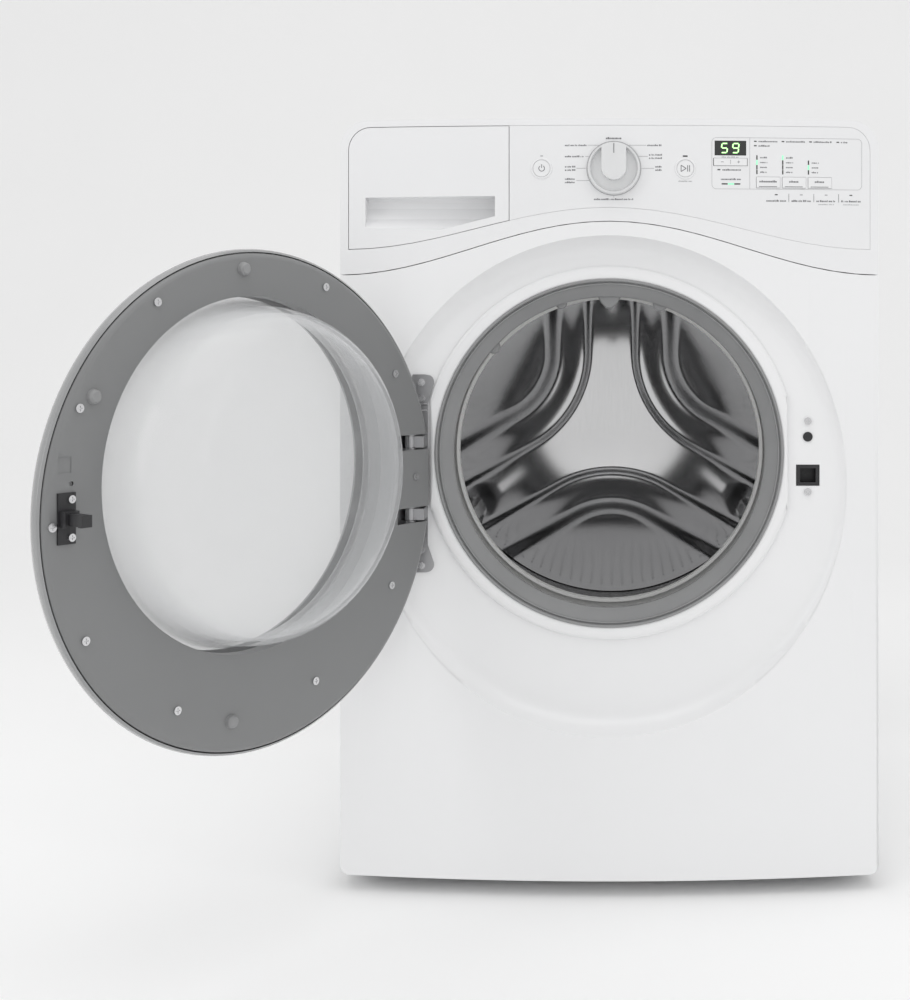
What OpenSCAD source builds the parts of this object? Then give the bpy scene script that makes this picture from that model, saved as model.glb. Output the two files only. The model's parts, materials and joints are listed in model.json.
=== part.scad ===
// Front load washing machine with its door open, in millimetres.
// Origin: on the floor, at the centre of the four feet.
// +X is the machine's right as seen from the front, +Y its rear, +Z up.

/* [Cabinet] */
// Width over the side panels
cab_w = 686; // [600:1:830]
// Height from the floor to the worktop
cab_h = 981; // [950:1:1180]
// Depth from the front corners to the rear edge
cab_d = 700; // [660:1:840]
// Height of the cabinet's underside above the floor
foot_gap = 21; // [18:1:30]
// How far the front bows out at its centre
front_bow = 26; // [16:1:32]
// Steel sheet thickness
sheet_t = 1.2; // [0.8:0.1:2]
// Worktop thickness, folded edge included
top_t = 38; // [36:1:46]

/* [Front] */
// Height of the drum axis above the floor
axis_h = 558; // [540:1:580]
// Radius of the loading mouth in the front panel
mouth_r = 221; // [215:1:226]
// Radius of the raised lip round the mouth
lip_r = 238; // [232:1:242]
// Height of the raised lip
lip_h = 6; // [3:1:10]
// Radius of the flat floor of the round recess
dish_r = 288; // [284:1:300]
// Height of the recess centre
dish_h = 518; // [510:1:525]
// How widely the recess wall spreads
dish_slope = 1.1; // [0.5:0.1:1.3]

/* [Console] */
// Drop from the worktop to the console seam, at the sides
seam_side_drop = 196; // [190:1:205]
// Drop from the worktop to the console seam, at the centre
seam_apex_drop = 129; // [126:1:136]
// Drop from the worktop to the fascia's lower edge, at the sides
fascia_side_drop = 164; // [155:1:172]
// Drop from the worktop to the fascia's lower edge, at the centre
fascia_apex_drop = 112; // [108:1:118]
// Width of the border beside and above the fascia
border = 10; // [8:1:16]
// Outer corner radius of the console
corner_r = 35; // [20:1:45]
// Fascia thickness
fascia_t = 3; // [2:0.5:4]
// X of the joint between drawer front and fascia
seam_x = -126; // [-140:1:-110]
// Drop from the worktop to the row of controls
control_drop = 63; // [58:1:68]
// X of the programme knob
knob_x = 6; // [0:1:12]
// Radius of the programme knob
knob_r = 33.5; // [26:0.5:41]
// X of the power button
power_x = -85; // [-95:1:-78]
// X of the start button
start_x = 96; // [84:1:104]
// Radius of the round buttons
button_r = 10.6; // [8:0.1:13]
// Travel of the buttons
button_travel = 1.5; // [1:0.1:2]
// Width of the three option keys
key_w = 30; // [24:1:32]
// Height of the three option keys
key_h = 13.5; // [10:0.5:15]

/* [Drawer] */
// Length of the drawer tray
tray_len = 215; // [180:1:258]
// Height of the drawer tray
tray_h = 66; // [50:1:70]
// Wall of the tray and of its housing
tray_t = 2.2; // [1.5:0.1:3]

/* [Door] */
// Radius of the door
door_r = 281; // [270:1:286]
// Height of the door centre
door_h = 525; // [518:1:530]
// Radius of the window in the door
window_r = 198; // [185:1:202]
// Height of the window centre
window_h = 555; // [545:1:555]
// Sideways offset of the window towards the latch side
window_x = 12; // [0:1:14]
// Angle at which the door stands open
door_open = 126; // [0:1:130]
// Distance of the hinge axis inside the door's edge
hinge_inset = 32; // [28:1:34]
// Distance of the hinge axis in front of the recess floor
hinge_reach = 38; // [36:1:44]
// Distance of the door's inner face in front of the recess floor
liner_gap = 26; // [24:1:30]
// Radius of the hinge pins
hinge_pin_r = 4; // [3:0.5:5]
// Depth of the glass bowl behind the recess floor
bowl_depth = 62; // [50:1:70]

/* [Drum and tub] */
// Radius of the drum
drum_r = 268; // [250:1:272]
// Length of the drum
drum_len = 450; // [400:1:455]
// Outer radius of the tub
tub_r = 300; // [285:1:305]
// Wall of the tub
tub_t = 4; // [3:0.5:6]
// Vertical travel of the tub on its springs, each way
tub_travel = 8; // [4:1:10]
// Radius of the drive shaft
shaft_r = 15; // [12:1:18]
// Radius of the drum pulley
pulley_r = 150; // [120:1:160]
// Radius of the motor pulley
pinion_r = 12; // [10:0.5:16]
// Height of the motor axis
motor_h = 165; // [150:1:170]

/* [Fits] */
// Radial clearance of pins and shafts that turn or slide
run_fit = 0.05; // [0.02:0.01:0.1]
// Clearance round a piece that moves in an opening
gap = 0.8; // [0.5:0.1:1.2]

/* [Hidden] */

$fn = 96;
fine = 180;            // facets of the large round shapes
eps = 0.02;            // overlap that joins touching shapes of one piece
front_y = -cab_d / 2;
rear_y = cab_d / 2;
side_x = cab_w / 2;
bow_r = (side_x * side_x + front_bow * front_bow) / (2 * front_bow);
bow_cy = front_y - front_bow + bow_r;

// console heights
seam_side = cab_h - seam_side_drop;
seam_apex = cab_h - seam_apex_drop;
fascia_side = cab_h - fascia_side_drop;
fascia_apex = cab_h - fascia_apex_drop;
fascia_top = cab_h - border + 1;
fascia_half = side_x - border - 1;
control_h = cab_h - control_drop;
console_t = 2.5;
console_back = front_y + 28;
ledge_w = 8;
board_y = front_y + 5;
board_t = 1.6;
switch_h = 1.8;

// keys and display, placed from the right end of the fascia
soil_x = fascia_half - 65;
spin_x = soil_x - 33;
temp_x = spin_x - 33;
display_x = temp_x - 48;
display_w = 40;
display_h = 18.5;
key_drop = 17;
rocker_w = 42;
rocker_h = 9;

// drawer
drawer_back = front_y + 24;
tray_x0 = -fascia_half + 12;
tray_x1 = seam_x - 10;
tray_z0 = control_h - 44;
pocket_top = control_h - 34;
pocket_low = control_h - 84;
pocket_x0 = -fascia_half + 22;
pocket_x1 = seam_x - 18;
pocket_rim = 11;

// door, in its closed place
hinge_x = hinge_inset - door_r;
hinge_y = front_y - hinge_reach;
liner_y = front_y - liner_gap;
liner_t = 2.5;
arm_z = [door_h - 40.5, door_h + 50];
arm_h = 14;
lock_x = lip_r + 15;
lock_z = door_h + 4.5;

// tub and drum
tub_y0 = front_y + 66;
tub_y1 = tub_y0 + drum_len + 62;
tub_mid = (tub_y0 + tub_y1) / 2;
drum_y0 = tub_y0 + 18;
drum_y1 = drum_y0 + drum_len;
drum_mouth_r = mouth_r - 21;
spider_t = 24;
hub_r = 44;
bearing_r = 31;
bearing_w = 18;
pulley_y = tub_y1 + 61;
pulley_w = 16;
motor_r = 62;
motor_y0 = tub_y1 - 110;
motor_len = 110;
hang_x = 235;
hang_y = tub_mid + 40;
damp_x = 200;
lug_gap = tub_travel + 2;

// feet
foot_x = side_x - 48;
foot_y = cab_d / 2 - 80;
foot_r = 20;
stem_r = 5;

// ---------- shared shapes ----------

// Depth of the bowed front at x, with its skin taken in by inset
function bow_at(x, inset = 0) = bow_cy - sqrt(pow(bow_r - inset, 2) - x * x);

// Height of an edge that rises in one smooth wave to the middle
function wave(x, side, apex, half) =
    side + (apex - side) * (1 + cos(180 * min(1, abs(x) / half))) / 2;

function arc(cx, cy, r, a0, a1, n = 8) =
    [for (i = [0:n]) let (a = a0 + (a1 - a0) * i / n) [cx + r * cos(a), cy + r * sin(a)]];

// Outline in X and Z with round upper corners and a waved lower edge
function waved_outline(half, top, r, side, apex, steps = 24) = concat(
    [for (i = [0:steps]) let (x = -half + 2 * half * i / steps) [x, wave(x, side, apex, half)]],
    arc(half - r, top - r, r, 0, 90),
    arc(-half + r, top - r, r, 90, 180));

// Everything behind the bowed front surface, as far back as "back"
module bow_block(inset, z0, z1, half, back) {
    low = front_y - front_bow - 1;
    translate([0, 0, z0]) linear_extrude(z1 - z0) intersection() {
        translate([0, bow_cy]) circle(bow_r - inset, $fn = 360);
        translate([-half, low]) square([2 * half, back - low]);
    }
}

// Extrudes an outline in X and Z forwards from y0
module upright(y0, depth) {
    translate([0, y0, 0]) rotate([90, 0, 0]) linear_extrude(depth) children();
}

module front_prism() {
    upright(front_y + 60, 60 + front_bow + 2) children();
}

// Turns a profile of radius and depth about a line along +Y
module turn_y(y0, z0, x0 = 0, facets = fine) {
    translate([x0, y0, z0]) rotate([-90, 0, 0]) rotate_extrude($fn = facets) children();
}

module rod_y(x, y0, z, r, len, facets = 48) {
    translate([x, y0, z]) rotate([-90, 0, 0]) cylinder(h = len, r = r, $fn = facets);
}

module rod_x(x0, y, z, r, len) {
    translate([x0, y, z]) rotate([0, 90, 0]) cylinder(h = len, r = r, $fn = 48);
}

module block(lo, hi) {
    translate(lo) cube([for (i = [0:2]) hi[i] - lo[i]]);
}

// Puts a piece on the bowed front, with its local -Y pointing straight out
module on_front(x, z) {
    translate([x, bow_at(x), z]) rotate([0, 0, asin(x / bow_r)]) children();
}

// Pan head screw whose head stands out along local -Y
module screw_y(len = 12, head_r = 4.6, shank_r = 2) {
    rotate([90, 0, 0]) difference() {
        union() {
            cylinder(h = 2.4, r = head_r, $fn = 32);
            translate([0, 0, -len]) cylinder(h = len + eps, r = shank_r, $fn = 24);
        }
        for (a = [0, 90]) rotate([0, 0, a])
            translate([-head_r * 0.6, -0.5, 1.4]) cube([head_r * 1.2, 1, 2]);
    }
}

// ---------- cabinet ----------

worktop_front = front_y + 29;

// Cross-section of the worktop, whose long edges are as round as the console's
module worktop_shape(inset, low) {
    polygon(waved_outline(side_x - inset, cab_h - inset, corner_r - inset, low, low, 1));
}

module worktop() color("white") difference() {
    z0 = cab_h - top_t;
    upright(rear_y, rear_y - worktop_front) worktop_shape(0, z0);
    upright(rear_y - sheet_t, rear_y - worktop_front - 2 * sheet_t) worktop_shape(sheet_t, z0 - 1);
    for (x = [-1, 1]) translate([x * (side_x - 60), rear_y - 3, z0 + 11])
        rotate([-90, 0, 0]) cylinder(h = 6, r = 2.2, $fn = 24);
}

// Left panel; the right one is its mirror image
module side_panel() {
    flange = 16;
    y0 = front_y + 29;
    z1 = cab_h - top_t - 0.3;
    color("white") difference() {
        block([-side_x, y0, foot_gap], [-side_x + flange, rear_y, z1]);
        block([-side_x + sheet_t, y0 + sheet_t, foot_gap + sheet_t],
            [-side_x + flange + 1, rear_y - sheet_t, z1 - sheet_t]);
        // long pressed panels that stiffen the sheet
        for (z = [foot_gap + 120, foot_gap + 400])
            block([-side_x - 1, y0 + 70, z], [-side_x + 0.5, rear_y - 70, z + 220]);
    }
    // bracket that the suspension spring hangs from
    color("gainsboro") difference() {
        block([-side_x + sheet_t - eps, hang_y - 14, spring_top], [-hang_x + 12, hang_y + 14, spring_top + 3]);
        translate([-hang_x, hang_y, spring_top - 1]) cylinder(h = 5, r = 4, $fn = 24);
    }
}

spring_top = cab_h - top_t - 55;

module side_panel_left() side_panel();
module side_panel_right() mirror([1, 0, 0]) side_panel();

// The rear panel sits between the side panels, with its rim turned back
rear_face = rear_y - 11;
bolt_x = 190;
bolt_z = 170;
bolt_hole_r = 9;
valve_x = [-150, -90];
valve_z = cab_h - 75;
spigot_r = 13.2;
pump_x = 190;
pump_y = front_y + 90;
pump_z = foot_gap + 50;
drain_x = pump_x - 62 - 12.05;
drain_z = pump_z + 20;
rear_screw_z = [foot_gap + 60, axis_h, cab_h - 110];
cord_x = 250;
cord_z = foot_gap + 140;

module rear_panel() color("lightgray") difference() {
    union() {
        difference() {
            block([-side_x + 17, rear_face, foot_gap], [side_x - 17, rear_y, cab_h - top_t - 1]);
            block([-side_x + 17 + sheet_t, rear_face + sheet_t, foot_gap + sheet_t],
                [side_x - 17 - sheet_t, rear_y + 1, cab_h - top_t - 1 - sheet_t]);
        }
        // pressed ring round the drive, and the transport bolt bosses
        difference() {
            rod_y(0, rear_face, axis_h, 214, 6, fine);
            rod_y(0, rear_face - 1, axis_h, 212, 6, fine);
        }
        for (x = [-1, 1], z = [-1, 1])
            rod_y(x * bolt_x, rear_face, axis_h - 60 + z * bolt_z, bolt_hole_r + 5, 8);
    }
    for (x = [-1, 1], z = [-1, 1])
        rod_y(x * bolt_x, rear_face - 1, axis_h - 60 + z * bolt_z, bolt_hole_r, 12);
    for (x = valve_x) rod_y(x, rear_face - 1, valve_z, spigot_r + 1, 4);
    rod_y(drain_x, rear_face - 1, drain_z, 17, 4);
    rod_y(cord_x, rear_face - 1, cord_z, 9.2, 4);
    for (x = [-1, 1], z = rear_screw_z) rod_y(x * (side_x - 30), rear_face - 1, z, 2.2, 4);
    for (i = [0:5]) block([-150, rear_face - 1, foot_gap + 30 + i * 12],
        [-40, rear_face + 3, foot_gap + 35 + i * 12]);
}

module base_pan() color("lightgray") difference() {
    union() {
        difference() {
            block([-side_x + 17, front_y + 29, foot_gap], [side_x - 17, rear_face - 0.5, foot_gap + 30]);
            block([-side_x + 17 + 2, front_y + 29 + 2, foot_gap + 2],
                [side_x - 17 - 2, rear_face - 2.5, foot_gap + 31]);
        }
        for (x = [-1, 1], y = [-1, 1]) translate([x * foot_x, y * foot_y, foot_gap])
            cylinder(h = 24, r = 13);
        for (x = [-1, 1]) block([x * 120 - 9, front_y + 60, foot_gap], [x * 120 + 9, rear_face - 60, foot_gap + 12]);
    }
    for (x = [-1, 1], y = [-1, 1]) translate([x * foot_x, y * foot_y, foot_gap - 1])
        cylinder(h = 30, r = stem_r + run_fit);
}

// Run and rise of the recess wall, which leaves the floor softly and then steepens
dish_wall = [[0, 0], [4.5, 0.6], [9, 2.6], [13, 6.2], [17, 11.5], [21, 18], [26, 27.5], [32, 39]];

// Steepness of the wall at one of those points
function wall_turn(i) = let (a = dish_wall[max(i - 1, 0)], b = dish_wall[min(i + 1, len(dish_wall) - 1)])
    i == 0 ? 0 : atan2(b[1] - a[1], (b[0] - a[0]) * dish_slope);

// Round recess; grow takes its surface back by one wall
module dish(grow) {
    translate([0, front_y, dish_h]) rotate([90, 0, 0]) rotate_extrude($fn = fine) polygon(concat(
        [[0, -grow]],
        [for (i = [0:len(dish_wall) - 1]) let (a = wall_turn(i))
            [dish_r + dish_wall[i][0] * dish_slope + grow * sin(a), dish_wall[i][1] - grow * cos(a)]],
        [[0, 39]]));
}

module front_outline() {
    r = 12;
    polygon(concat(
        [for (i = [0:32]) let (x = side_x - 2 * side_x * i / 32)
            [x, wave(x, seam_side, seam_apex, side_x) - 1]],
        arc(-side_x + r, foot_gap + r, r, 180, 270, 5),
        arc(side_x - r, foot_gap + r, r, 270, 360, 5)));
}

lock_w = 30;
lock_hgt = 27;
sensor_z = lock_z + 49;

module front_panel() color("white") {
    back = front_y + 28;
    difference() {
        intersection() {
            difference() {
                difference() {
                    bow_block(0, foot_gap, cab_h, side_x, back);
                    dish(0);
                }
                difference() {
                    bow_block(sheet_t, foot_gap + sheet_t, cab_h + 1, side_x - sheet_t, back + 1);
                    dish(sheet_t);
                }
            }
            front_prism() front_outline();
        }
        intersection() {
            rod_y(0, front_y - 2, axis_h, lip_r - sheet_t / 2, 8, fine);
            lip_band(lip_flat - sheet_t / 2);
        }
        block([lock_x - lock_w / 2, front_y - 2, lock_z - lock_hgt / 2],
            [lock_x + lock_w / 2, front_y + 3, lock_z + lock_hgt / 2]);
        rod_y(lock_x, front_y - 2, sensor_z, 6.2, 8);
        for (z = lock_screw_z) rod_y(lock_x, front_y - 2, z, 2.2, 8);
        for (z = hinge_screw_z) rod_y(hinge_screw_x, front_y - 2, z, 2.2, 8);
    }
    // lip with a sleeve turned in for the gasket, cut flat beside the hinge and the lock
    intersection() {
        lip_band(lip_flat);
        difference() {
            rod_y(0, front_y - lip_h, axis_h, lip_r - 1, lip_h + sheet_t, fine);
            rod_y(0, front_y - lip_h - 1, axis_h, mouth_r + sheet_t, lip_h + sheet_t + 2, fine);
            lip_band(lip_flat - sheet_t);
        }
    }
    intersection() {
        lip_band(lip_flat);
        turn_y(front_y, axis_h) polygon([
            [mouth_r, 16], [mouth_r, -lip_h + 2], [mouth_r + 2, -lip_h], [lip_r - 4, -lip_h],
            [lip_r, -lip_h + 4], [lip_r, sheet_t], [lip_r - sheet_t, sheet_t],
            [lip_r - sheet_t, -lip_h + 4], [lip_r - 4.4, -lip_h + sheet_t],
            [mouth_r + 2.4, -lip_h + sheet_t], [mouth_r + sheet_t, -lip_h + 3], [mouth_r + sheet_t, 16]]);
    }
}

lip_flat = mouth_r + 6;

// Everything round the mouth that lies within "half" of the middle
module lip_band(half) {
    block([-half, front_y - 20, axis_h - lip_r - 5], [half, front_y + 30, axis_h + lip_r + 5]);
}

// ---------- console ----------

module console_shape(inset) {
    polygon(waved_outline(side_x - inset, cab_h - inset, corner_r - inset,
        seam_side + inset, seam_apex + inset));
}

// Fascia region between two values of x, made smaller by inset
module fascia_shape(inset, x0, x1) {
    intersection() {
        polygon(waved_outline(fascia_half - inset, fascia_top - inset, corner_r - border + 4 - inset,
            fascia_side + inset, fascia_apex + inset));
        translate([x0, seam_side]) square([x1 - x0, cab_h - seam_side]);
    }
}

module front_skin(from, to) {
    difference() {
        bow_block(from, seam_side - 5, cab_h + 5, side_x, front_y + 60);
        bow_block(to, seam_side - 6, cab_h + 6, side_x + 1, front_y + 61);
    }
}

module console_frame() color("white") {
    difference() {
        intersection() {
            bow_block(0, seam_side - 5, cab_h + 5, side_x, console_back);
            front_prism() console_shape(0);
        }
        intersection() {
            bow_block(console_t, seam_side - 6, cab_h + 6, side_x, console_back + 1);
            front_prism() console_shape(console_t);
        }
        front_prism() fascia_shape(-0.3, -side_x, side_x);
    }
    // ledge that carries the fascia, and the rib that joins it to the skin
    ledge(fascia_t + 0.1, fascia_t + 2.1) fascia_shape(ledge_w, seam_x + ledge_w, side_x);
    ledge(console_t - eps, fascia_t + 0.1 + eps) fascia_shape(-0.3, -side_x, side_x);
}

// Band behind the fascia's edge between two depths, open where its child is
module ledge(from, to) {
    intersection() {
        front_skin(from, to);
        front_prism() difference() {
            fascia_shape(-4, seam_x + gap, side_x);
            children();
        }
    }
}

module control_fascia() color("whitesmoke") {
    difference() {
        intersection() {
            front_skin(0, fascia_t);
            front_prism() fascia_shape(0, seam_x + gap / 2, side_x);
        }
        for (x = [power_x, start_x]) on_front(x, control_h) rod_y(0, -5, 0, button_r + gap / 2, 20);
        on_front(knob_x, control_h) rod_y(0, -5, 0, 8, 20);
        on_front(display_x, display_z) block([-display_w / 2 - 0.1, -5, -display_h / 2 - 0.1],
            [display_w / 2 + 0.1, 10, display_h / 2 + 0.1]);
        on_front(display_x, rocker_z) block([-rocker_w / 2 - gap, -5, -rocker_h / 2 - gap / 2],
            [rocker_w / 2 + gap, 10, rocker_h / 2 + gap / 2]);
        for (x = [temp_x, spin_x, soil_x]) on_front(x, key_z)
            block([-key_w / 2 - gap / 2, -5, -key_h / 2 - gap / 2],
                [key_w / 2 + gap / 2, 10, key_h / 2 + gap / 2]);
    }
    // raised bezels round the two round buttons
    for (x = [power_x, start_x]) on_front(x, control_h)
        turn_y(0, 0, 0, 64) polygon([[button_r + gap / 2, -1], [button_r + 2.2, -1],
            [button_r + 3, 0.3], [button_r + gap / 2, 0.3]]);
    // ears that hold the rocker's pin
    on_front(display_x, rocker_z) difference() {
        for (s = [-1, 1]) translate([0, 0, s * (rocker_h / 2 + 3)])
            block([-3, fascia_t - 0.1, -1.2], [3, pivot_y + 2.4, 1.2]);
        translate([0, pivot_y, -rocker_h]) cylinder(h = 2 * rocker_h, r = pivot_r + run_fit, $fn = 32);
    }
}

display_z = control_h + 26;
rocker_z = control_h + 8.5;
key_z = control_h - key_drop;

module display_window() color("black") on_front(display_x, display_z)
    block([-display_w / 2, 0, -display_h / 2], [display_w / 2, fascia_t, display_h / 2]);

// Gap left between a resting button stem and its switch
stem_gap = button_travel + 0.6;

function board_gap(x) = board_y - bow_at(x);

// Cap, guide flange behind the fascia, and stem to the switch
module press_button(x) on_front(x, control_h) {
    rod_y(0, -0.8, 0, button_r, 6.8, 64);
    rod_y(0, fascia_t + button_travel - 0.5, 0, button_r + 2, 1.5, 64);
    rod_y(0, 5, 0, 2.2, board_gap(x) - switch_h - stem_gap - 5);
}

module press_key(x) on_front(x, key_z) {
    block([-key_w / 2, -0.8, -key_h / 2], [key_w / 2, 6, key_h / 2]);
    block([-key_w / 2 - 1, fascia_t + 1, -key_h / 2 - 1], [key_w / 2 + 1, fascia_t + 2.4, key_h / 2 + 1]);
    rod_y(0, 5, 0, 2.2, board_gap(x) - switch_h - stem_gap - 5);
}

module power_button() color("whitesmoke") press_button(power_x);
module start_button() color("whitesmoke") press_button(start_x);
module temp_button() color("whitesmoke") press_key(temp_x);
module spin_button() color("whitesmoke") press_key(spin_x);
module soil_button() color("whitesmoke") press_key(soil_x);

pivot_y = fascia_t + 1.2;
pivot_r = 1;

// Rocker with a minus end and a plus end, on one upright pin
module time_rocker() color("whitesmoke") on_front(display_x, rocker_z) {
    block([-rocker_w / 2, -0.9, -rocker_h / 2], [rocker_w / 2, 2.4, rocker_h / 2]);
    block([-4, 2, -rocker_h / 2], [4, 6.5, rocker_h / 2]);
    translate([0, pivot_y, -rocker_h / 2 - 4]) cylinder(h = rocker_h + 8, r = pivot_r, $fn = 32);
    for (x = [-15, 15]) rod_y(x, 2, 0, 1.8, board_gap(display_x) - switch_h - stem_gap - 2);
}

module knob() color("gainsboro") on_front(knob_x, control_h) {
    turn_y(0, 0, 0, 128) polygon([[0, -3], [knob_r * 0.84, -3.4], [knob_r * 0.9, -9],
        [knob_r * 0.96, -9], [knob_r, -1], [0, -1]]);
    // grip bar across the face with a round lower end
    translate([0, -3, 0]) rotate([90, 0, 0]) linear_extrude(16) union() {
        intersection() {
            circle(knob_r * 0.92);
            translate([-knob_r * 0.46, 0]) square([knob_r * 0.92, knob_r]);
        }
        circle(knob_r * 0.46);
    }
    rod_y(0, -1.5, 0, 3, board_gap(knob_x) - 2);
}

module control_board() color("darkgreen") {
    z0 = control_h - 34;
    difference() {
        union() {
            block([seam_x + 20, board_y, z0], [fascia_half - 10, board_y + board_t, control_h + 42]);
            // encoder round the knob's shaft
            on_front(knob_x, control_h) rod_y(0, board_gap(knob_x) - 12, 0, 8, 12.2);
        }
        on_front(knob_x, control_h) rod_y(0, board_gap(knob_x) - 13, 0, 3 + run_fit, 12.2 + 4);
    }
    for (x = [power_x, start_x]) tact_switch(x, control_h, 0);
    for (x = [temp_x, spin_x, soil_x]) tact_switch(x, key_z, 0);
    for (side = [-15, 15]) tact_switch(display_x, rocker_z, side);
    block([display_x - 20, board_y - 8, display_z - 9], [display_x + 20, board_y + eps, display_z + 9]);
    for (i = [0:3]) rod_y(30 + i * 16, board_y + board_t - eps, control_h + 20, 5, 16);
    for (x = [-70, 60]) block([x, board_y + board_t - eps, z0 + 6], [x + 32, board_y + board_t + 11, z0 + 18]);
    block([-40, board_y + board_t - eps, control_h - 8], [-16, board_y + board_t + 3, control_h + 16]);
}

module tact_switch(x, z, side) on_front(x, z)
    block([side - 3, board_gap(x) - switch_h, -3], [side + 3, board_gap(x) + 1.2, 3]);

// ---------- drawer ----------

module drawer_front() color("white") difference() {
    intersection() {
        bow_block(0, seam_side - 5, cab_h, side_x, drawer_back);
        front_prism() fascia_shape(gap - 0.3, -side_x, seam_x - gap / 2);
    }
    // finger pocket, deepest under its upper edge
    intersection() {
        translate([pocket_x0, 0, 0]) rotate([90, 0, 90]) linear_extrude(pocket_x1 - pocket_x0) polygon([
            [front_y - front_bow - 5, pocket_top], [front_y + 12, pocket_top - 2], [front_y + 14, pocket_top - 6],
            [front_y + 14, pocket_top - 14], [front_y + 8, pocket_top - 28], [front_y - 6, pocket_top - 40],
            [front_y - front_bow - 5, pocket_low]]);
        front_prism() fascia_shape(pocket_rim, pocket_x0, pocket_x1);
    }
    intersection() {
        bow_block(3, pocket_top + 5, fascia_top - 5, side_x - 25, drawer_back + 1);
        block([tray_x0 + 6, front_y - front_bow, pocket_top + 5], [tray_x1 - 2, drawer_back + 1, fascia_top - 8]);
    }
}

module drawer_tray() color("whitesmoke") {
    y1 = drawer_back + tray_len;
    z1 = tray_z0 + tray_h;
    divider_x = tray_x0 + (tray_x1 - tray_x0) * 0.6;
    difference() {
        block([tray_x0, drawer_back, tray_z0], [tray_x1, y1, z1]);
        block([tray_x0 + tray_t, drawer_back + tray_t, tray_z0 + tray_t],
            [divider_x, y1 - tray_t, z1 + 1]);
        block([divider_x + tray_t, drawer_back + tray_t, tray_z0 + tray_t],
            [tray_x1 - tray_t, drawer_back + tray_len / 2, z1 + 1]);
        block([divider_x + tray_t, drawer_back + tray_len / 2 + tray_t, tray_z0 + tray_t],
            [tray_x1 - tray_t, y1 - tray_t, z1 + 1]);
    }
    // siphon caps of the two small compartments
    for (y = [0.25, 0.75]) translate([(divider_x + tray_x1) / 2, drawer_back + tray_len * y, tray_z0 + tray_t - eps])
        cylinder(h = 30, r = 8);
}

module dispenser_housing() color("whitesmoke") {
    c = 2.5;
    y0 = drawer_back + 7;
    y1 = drawer_back + tray_len + 12;
    lo = [tray_x0 - c, y0, tray_z0 - c];
    hi = [tray_x1 + c, y1 - tray_t, tray_z0 + tray_h + c + 2];
    difference() {
        block([lo[0] - tray_t, y0, lo[2] - tray_t], [hi[0] + tray_t, y1, hi[2] + tray_t]);
        block([lo[0], y0 - 1, lo[2]], hi);
        rod_y(hose_x, y1 - tray_t - 1, hose_z, 8, tray_t + 2);
        translate([hose_x, y1 - 40, lo[2] - 6]) cylinder(h = 8, r = 11);
    }
    // outlet to the tub, and inlet for the fill hose
    difference() {
        translate([hose_x, y1 - 40, lo[2] - 26]) cylinder(h = 26, r = 14);
        translate([hose_x, y1 - 40, lo[2] - 27]) cylinder(h = 40, r = 11);
    }
    difference() {
        rod_y(hose_x, y1 - eps, hose_z, 11, 16);
        rod_y(hose_x, y1 - 1, hose_z, 8, 20);
    }
}

hose_x = (tray_x0 + tray_x1) / 2;
hose_z = tray_z0 + tray_h - 14;
hose_y0 = drawer_back + tray_len + 12 + 16;

// ---------- door mouth ----------

module gasket() color("gray") turn_y(front_y, axis_h) polygon([
    [mouth_r - 0.4, -lip_h], [mouth_r - 0.4, 64], [mouth_r - 3.6, 64], [mouth_r - 3.6, 34],
    [mouth_r - 18, 25], [mouth_r - 21.5, 20], [mouth_r - 21.5, 13], [mouth_r - 17, 7],
    [mouth_r - 8, 1], [mouth_r - 5, -lip_h + 1], [mouth_r - 2, -lip_h]]);

module door_lock() color("dimgray") difference() {
    union() {
        block([lock_x - lock_w / 2 + 0.4, front_y - 0.5, lock_z - lock_hgt / 2 + 0.4],
            [lock_x + lock_w / 2 - 0.4, front_y + 4, lock_z + lock_hgt / 2 - 0.4]);
        block([lock_x - 19, front_y + sheet_t + 0.1, lock_z - 30], [lock_x + 16, front_y + 20, sensor_z + 28]);
        rod_y(lock_x, front_y - 1.5, sensor_z, 6, 6);
    }
    block([lock_x - 10, front_y - 2, lock_z - 9], [lock_x + 10, front_y + 17, lock_z + 9]);
    for (z = lock_screw_z) rod_y(lock_x, front_y, z, 2.02, 14);
}

lock_screw_z = [lock_z - 21, sensor_z + 20];
hinge_screw_x = hinge_x + 10;
hinge_screw_z = [door_h - 110, door_h - 90, door_h + 102.5, door_h + 123];
plate_t = 2.4;

// Plate on the recess floor with two arms that reach round the door's edge
module hinge_bracket() color("silver") difference() {
    union() {
        upright(front_y - 0.02, plate_t) difference() {
            polygon(concat(
                [[hinge_x - 13, door_h - 119], [hinge_x + 16, door_h - 119]],
                arc(hinge_x + 16, door_h - 109, 10, -60, 30, 5),
                [[hinge_x + 18, door_h - 84], [hinge_x + 18, door_h + 96]],
                arc(hinge_x + 16, door_h + 123, 10, -30, 60, 5),
                [[hinge_x + 14, door_h + 133], [hinge_x - 1, door_h + 133], [hinge_x - 13, door_h + 105]]));
            for (z = hinge_screw_z) translate([hinge_screw_x, z]) circle(2.2, $fn = 24);
        }
        // two pressed ridges above the upper arm
        for (z = [door_h + 87, door_h + 95])
            rod_x(hinge_x - 12, front_y - plate_t, z, 1.4, 29);
        for (z = arm_z) translate([0, 0, z - arm_h / 2]) linear_extrude(arm_h) union() {
            translate([hinge_x, hinge_y]) circle(6, $fn = 48);
            translate([hinge_x, hinge_y - 3]) square([18, 6]);
            translate([hinge_x + 12.5, hinge_y - 3]) square([5.5, hinge_reach + 3 - 0.02]);
        }
    }
    for (z = arm_z) translate([hinge_x, hinge_y, z - arm_h / 2 - 1])
        cylinder(h = arm_h + 2, r = hinge_pin_r);
}

module hinge_pins() color("silver") for (z = arm_z)
    translate([hinge_x, hinge_y, z - arm_h / 2 - 6]) cylinder(h = arm_h + 12, r = hinge_pin_r);

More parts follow.
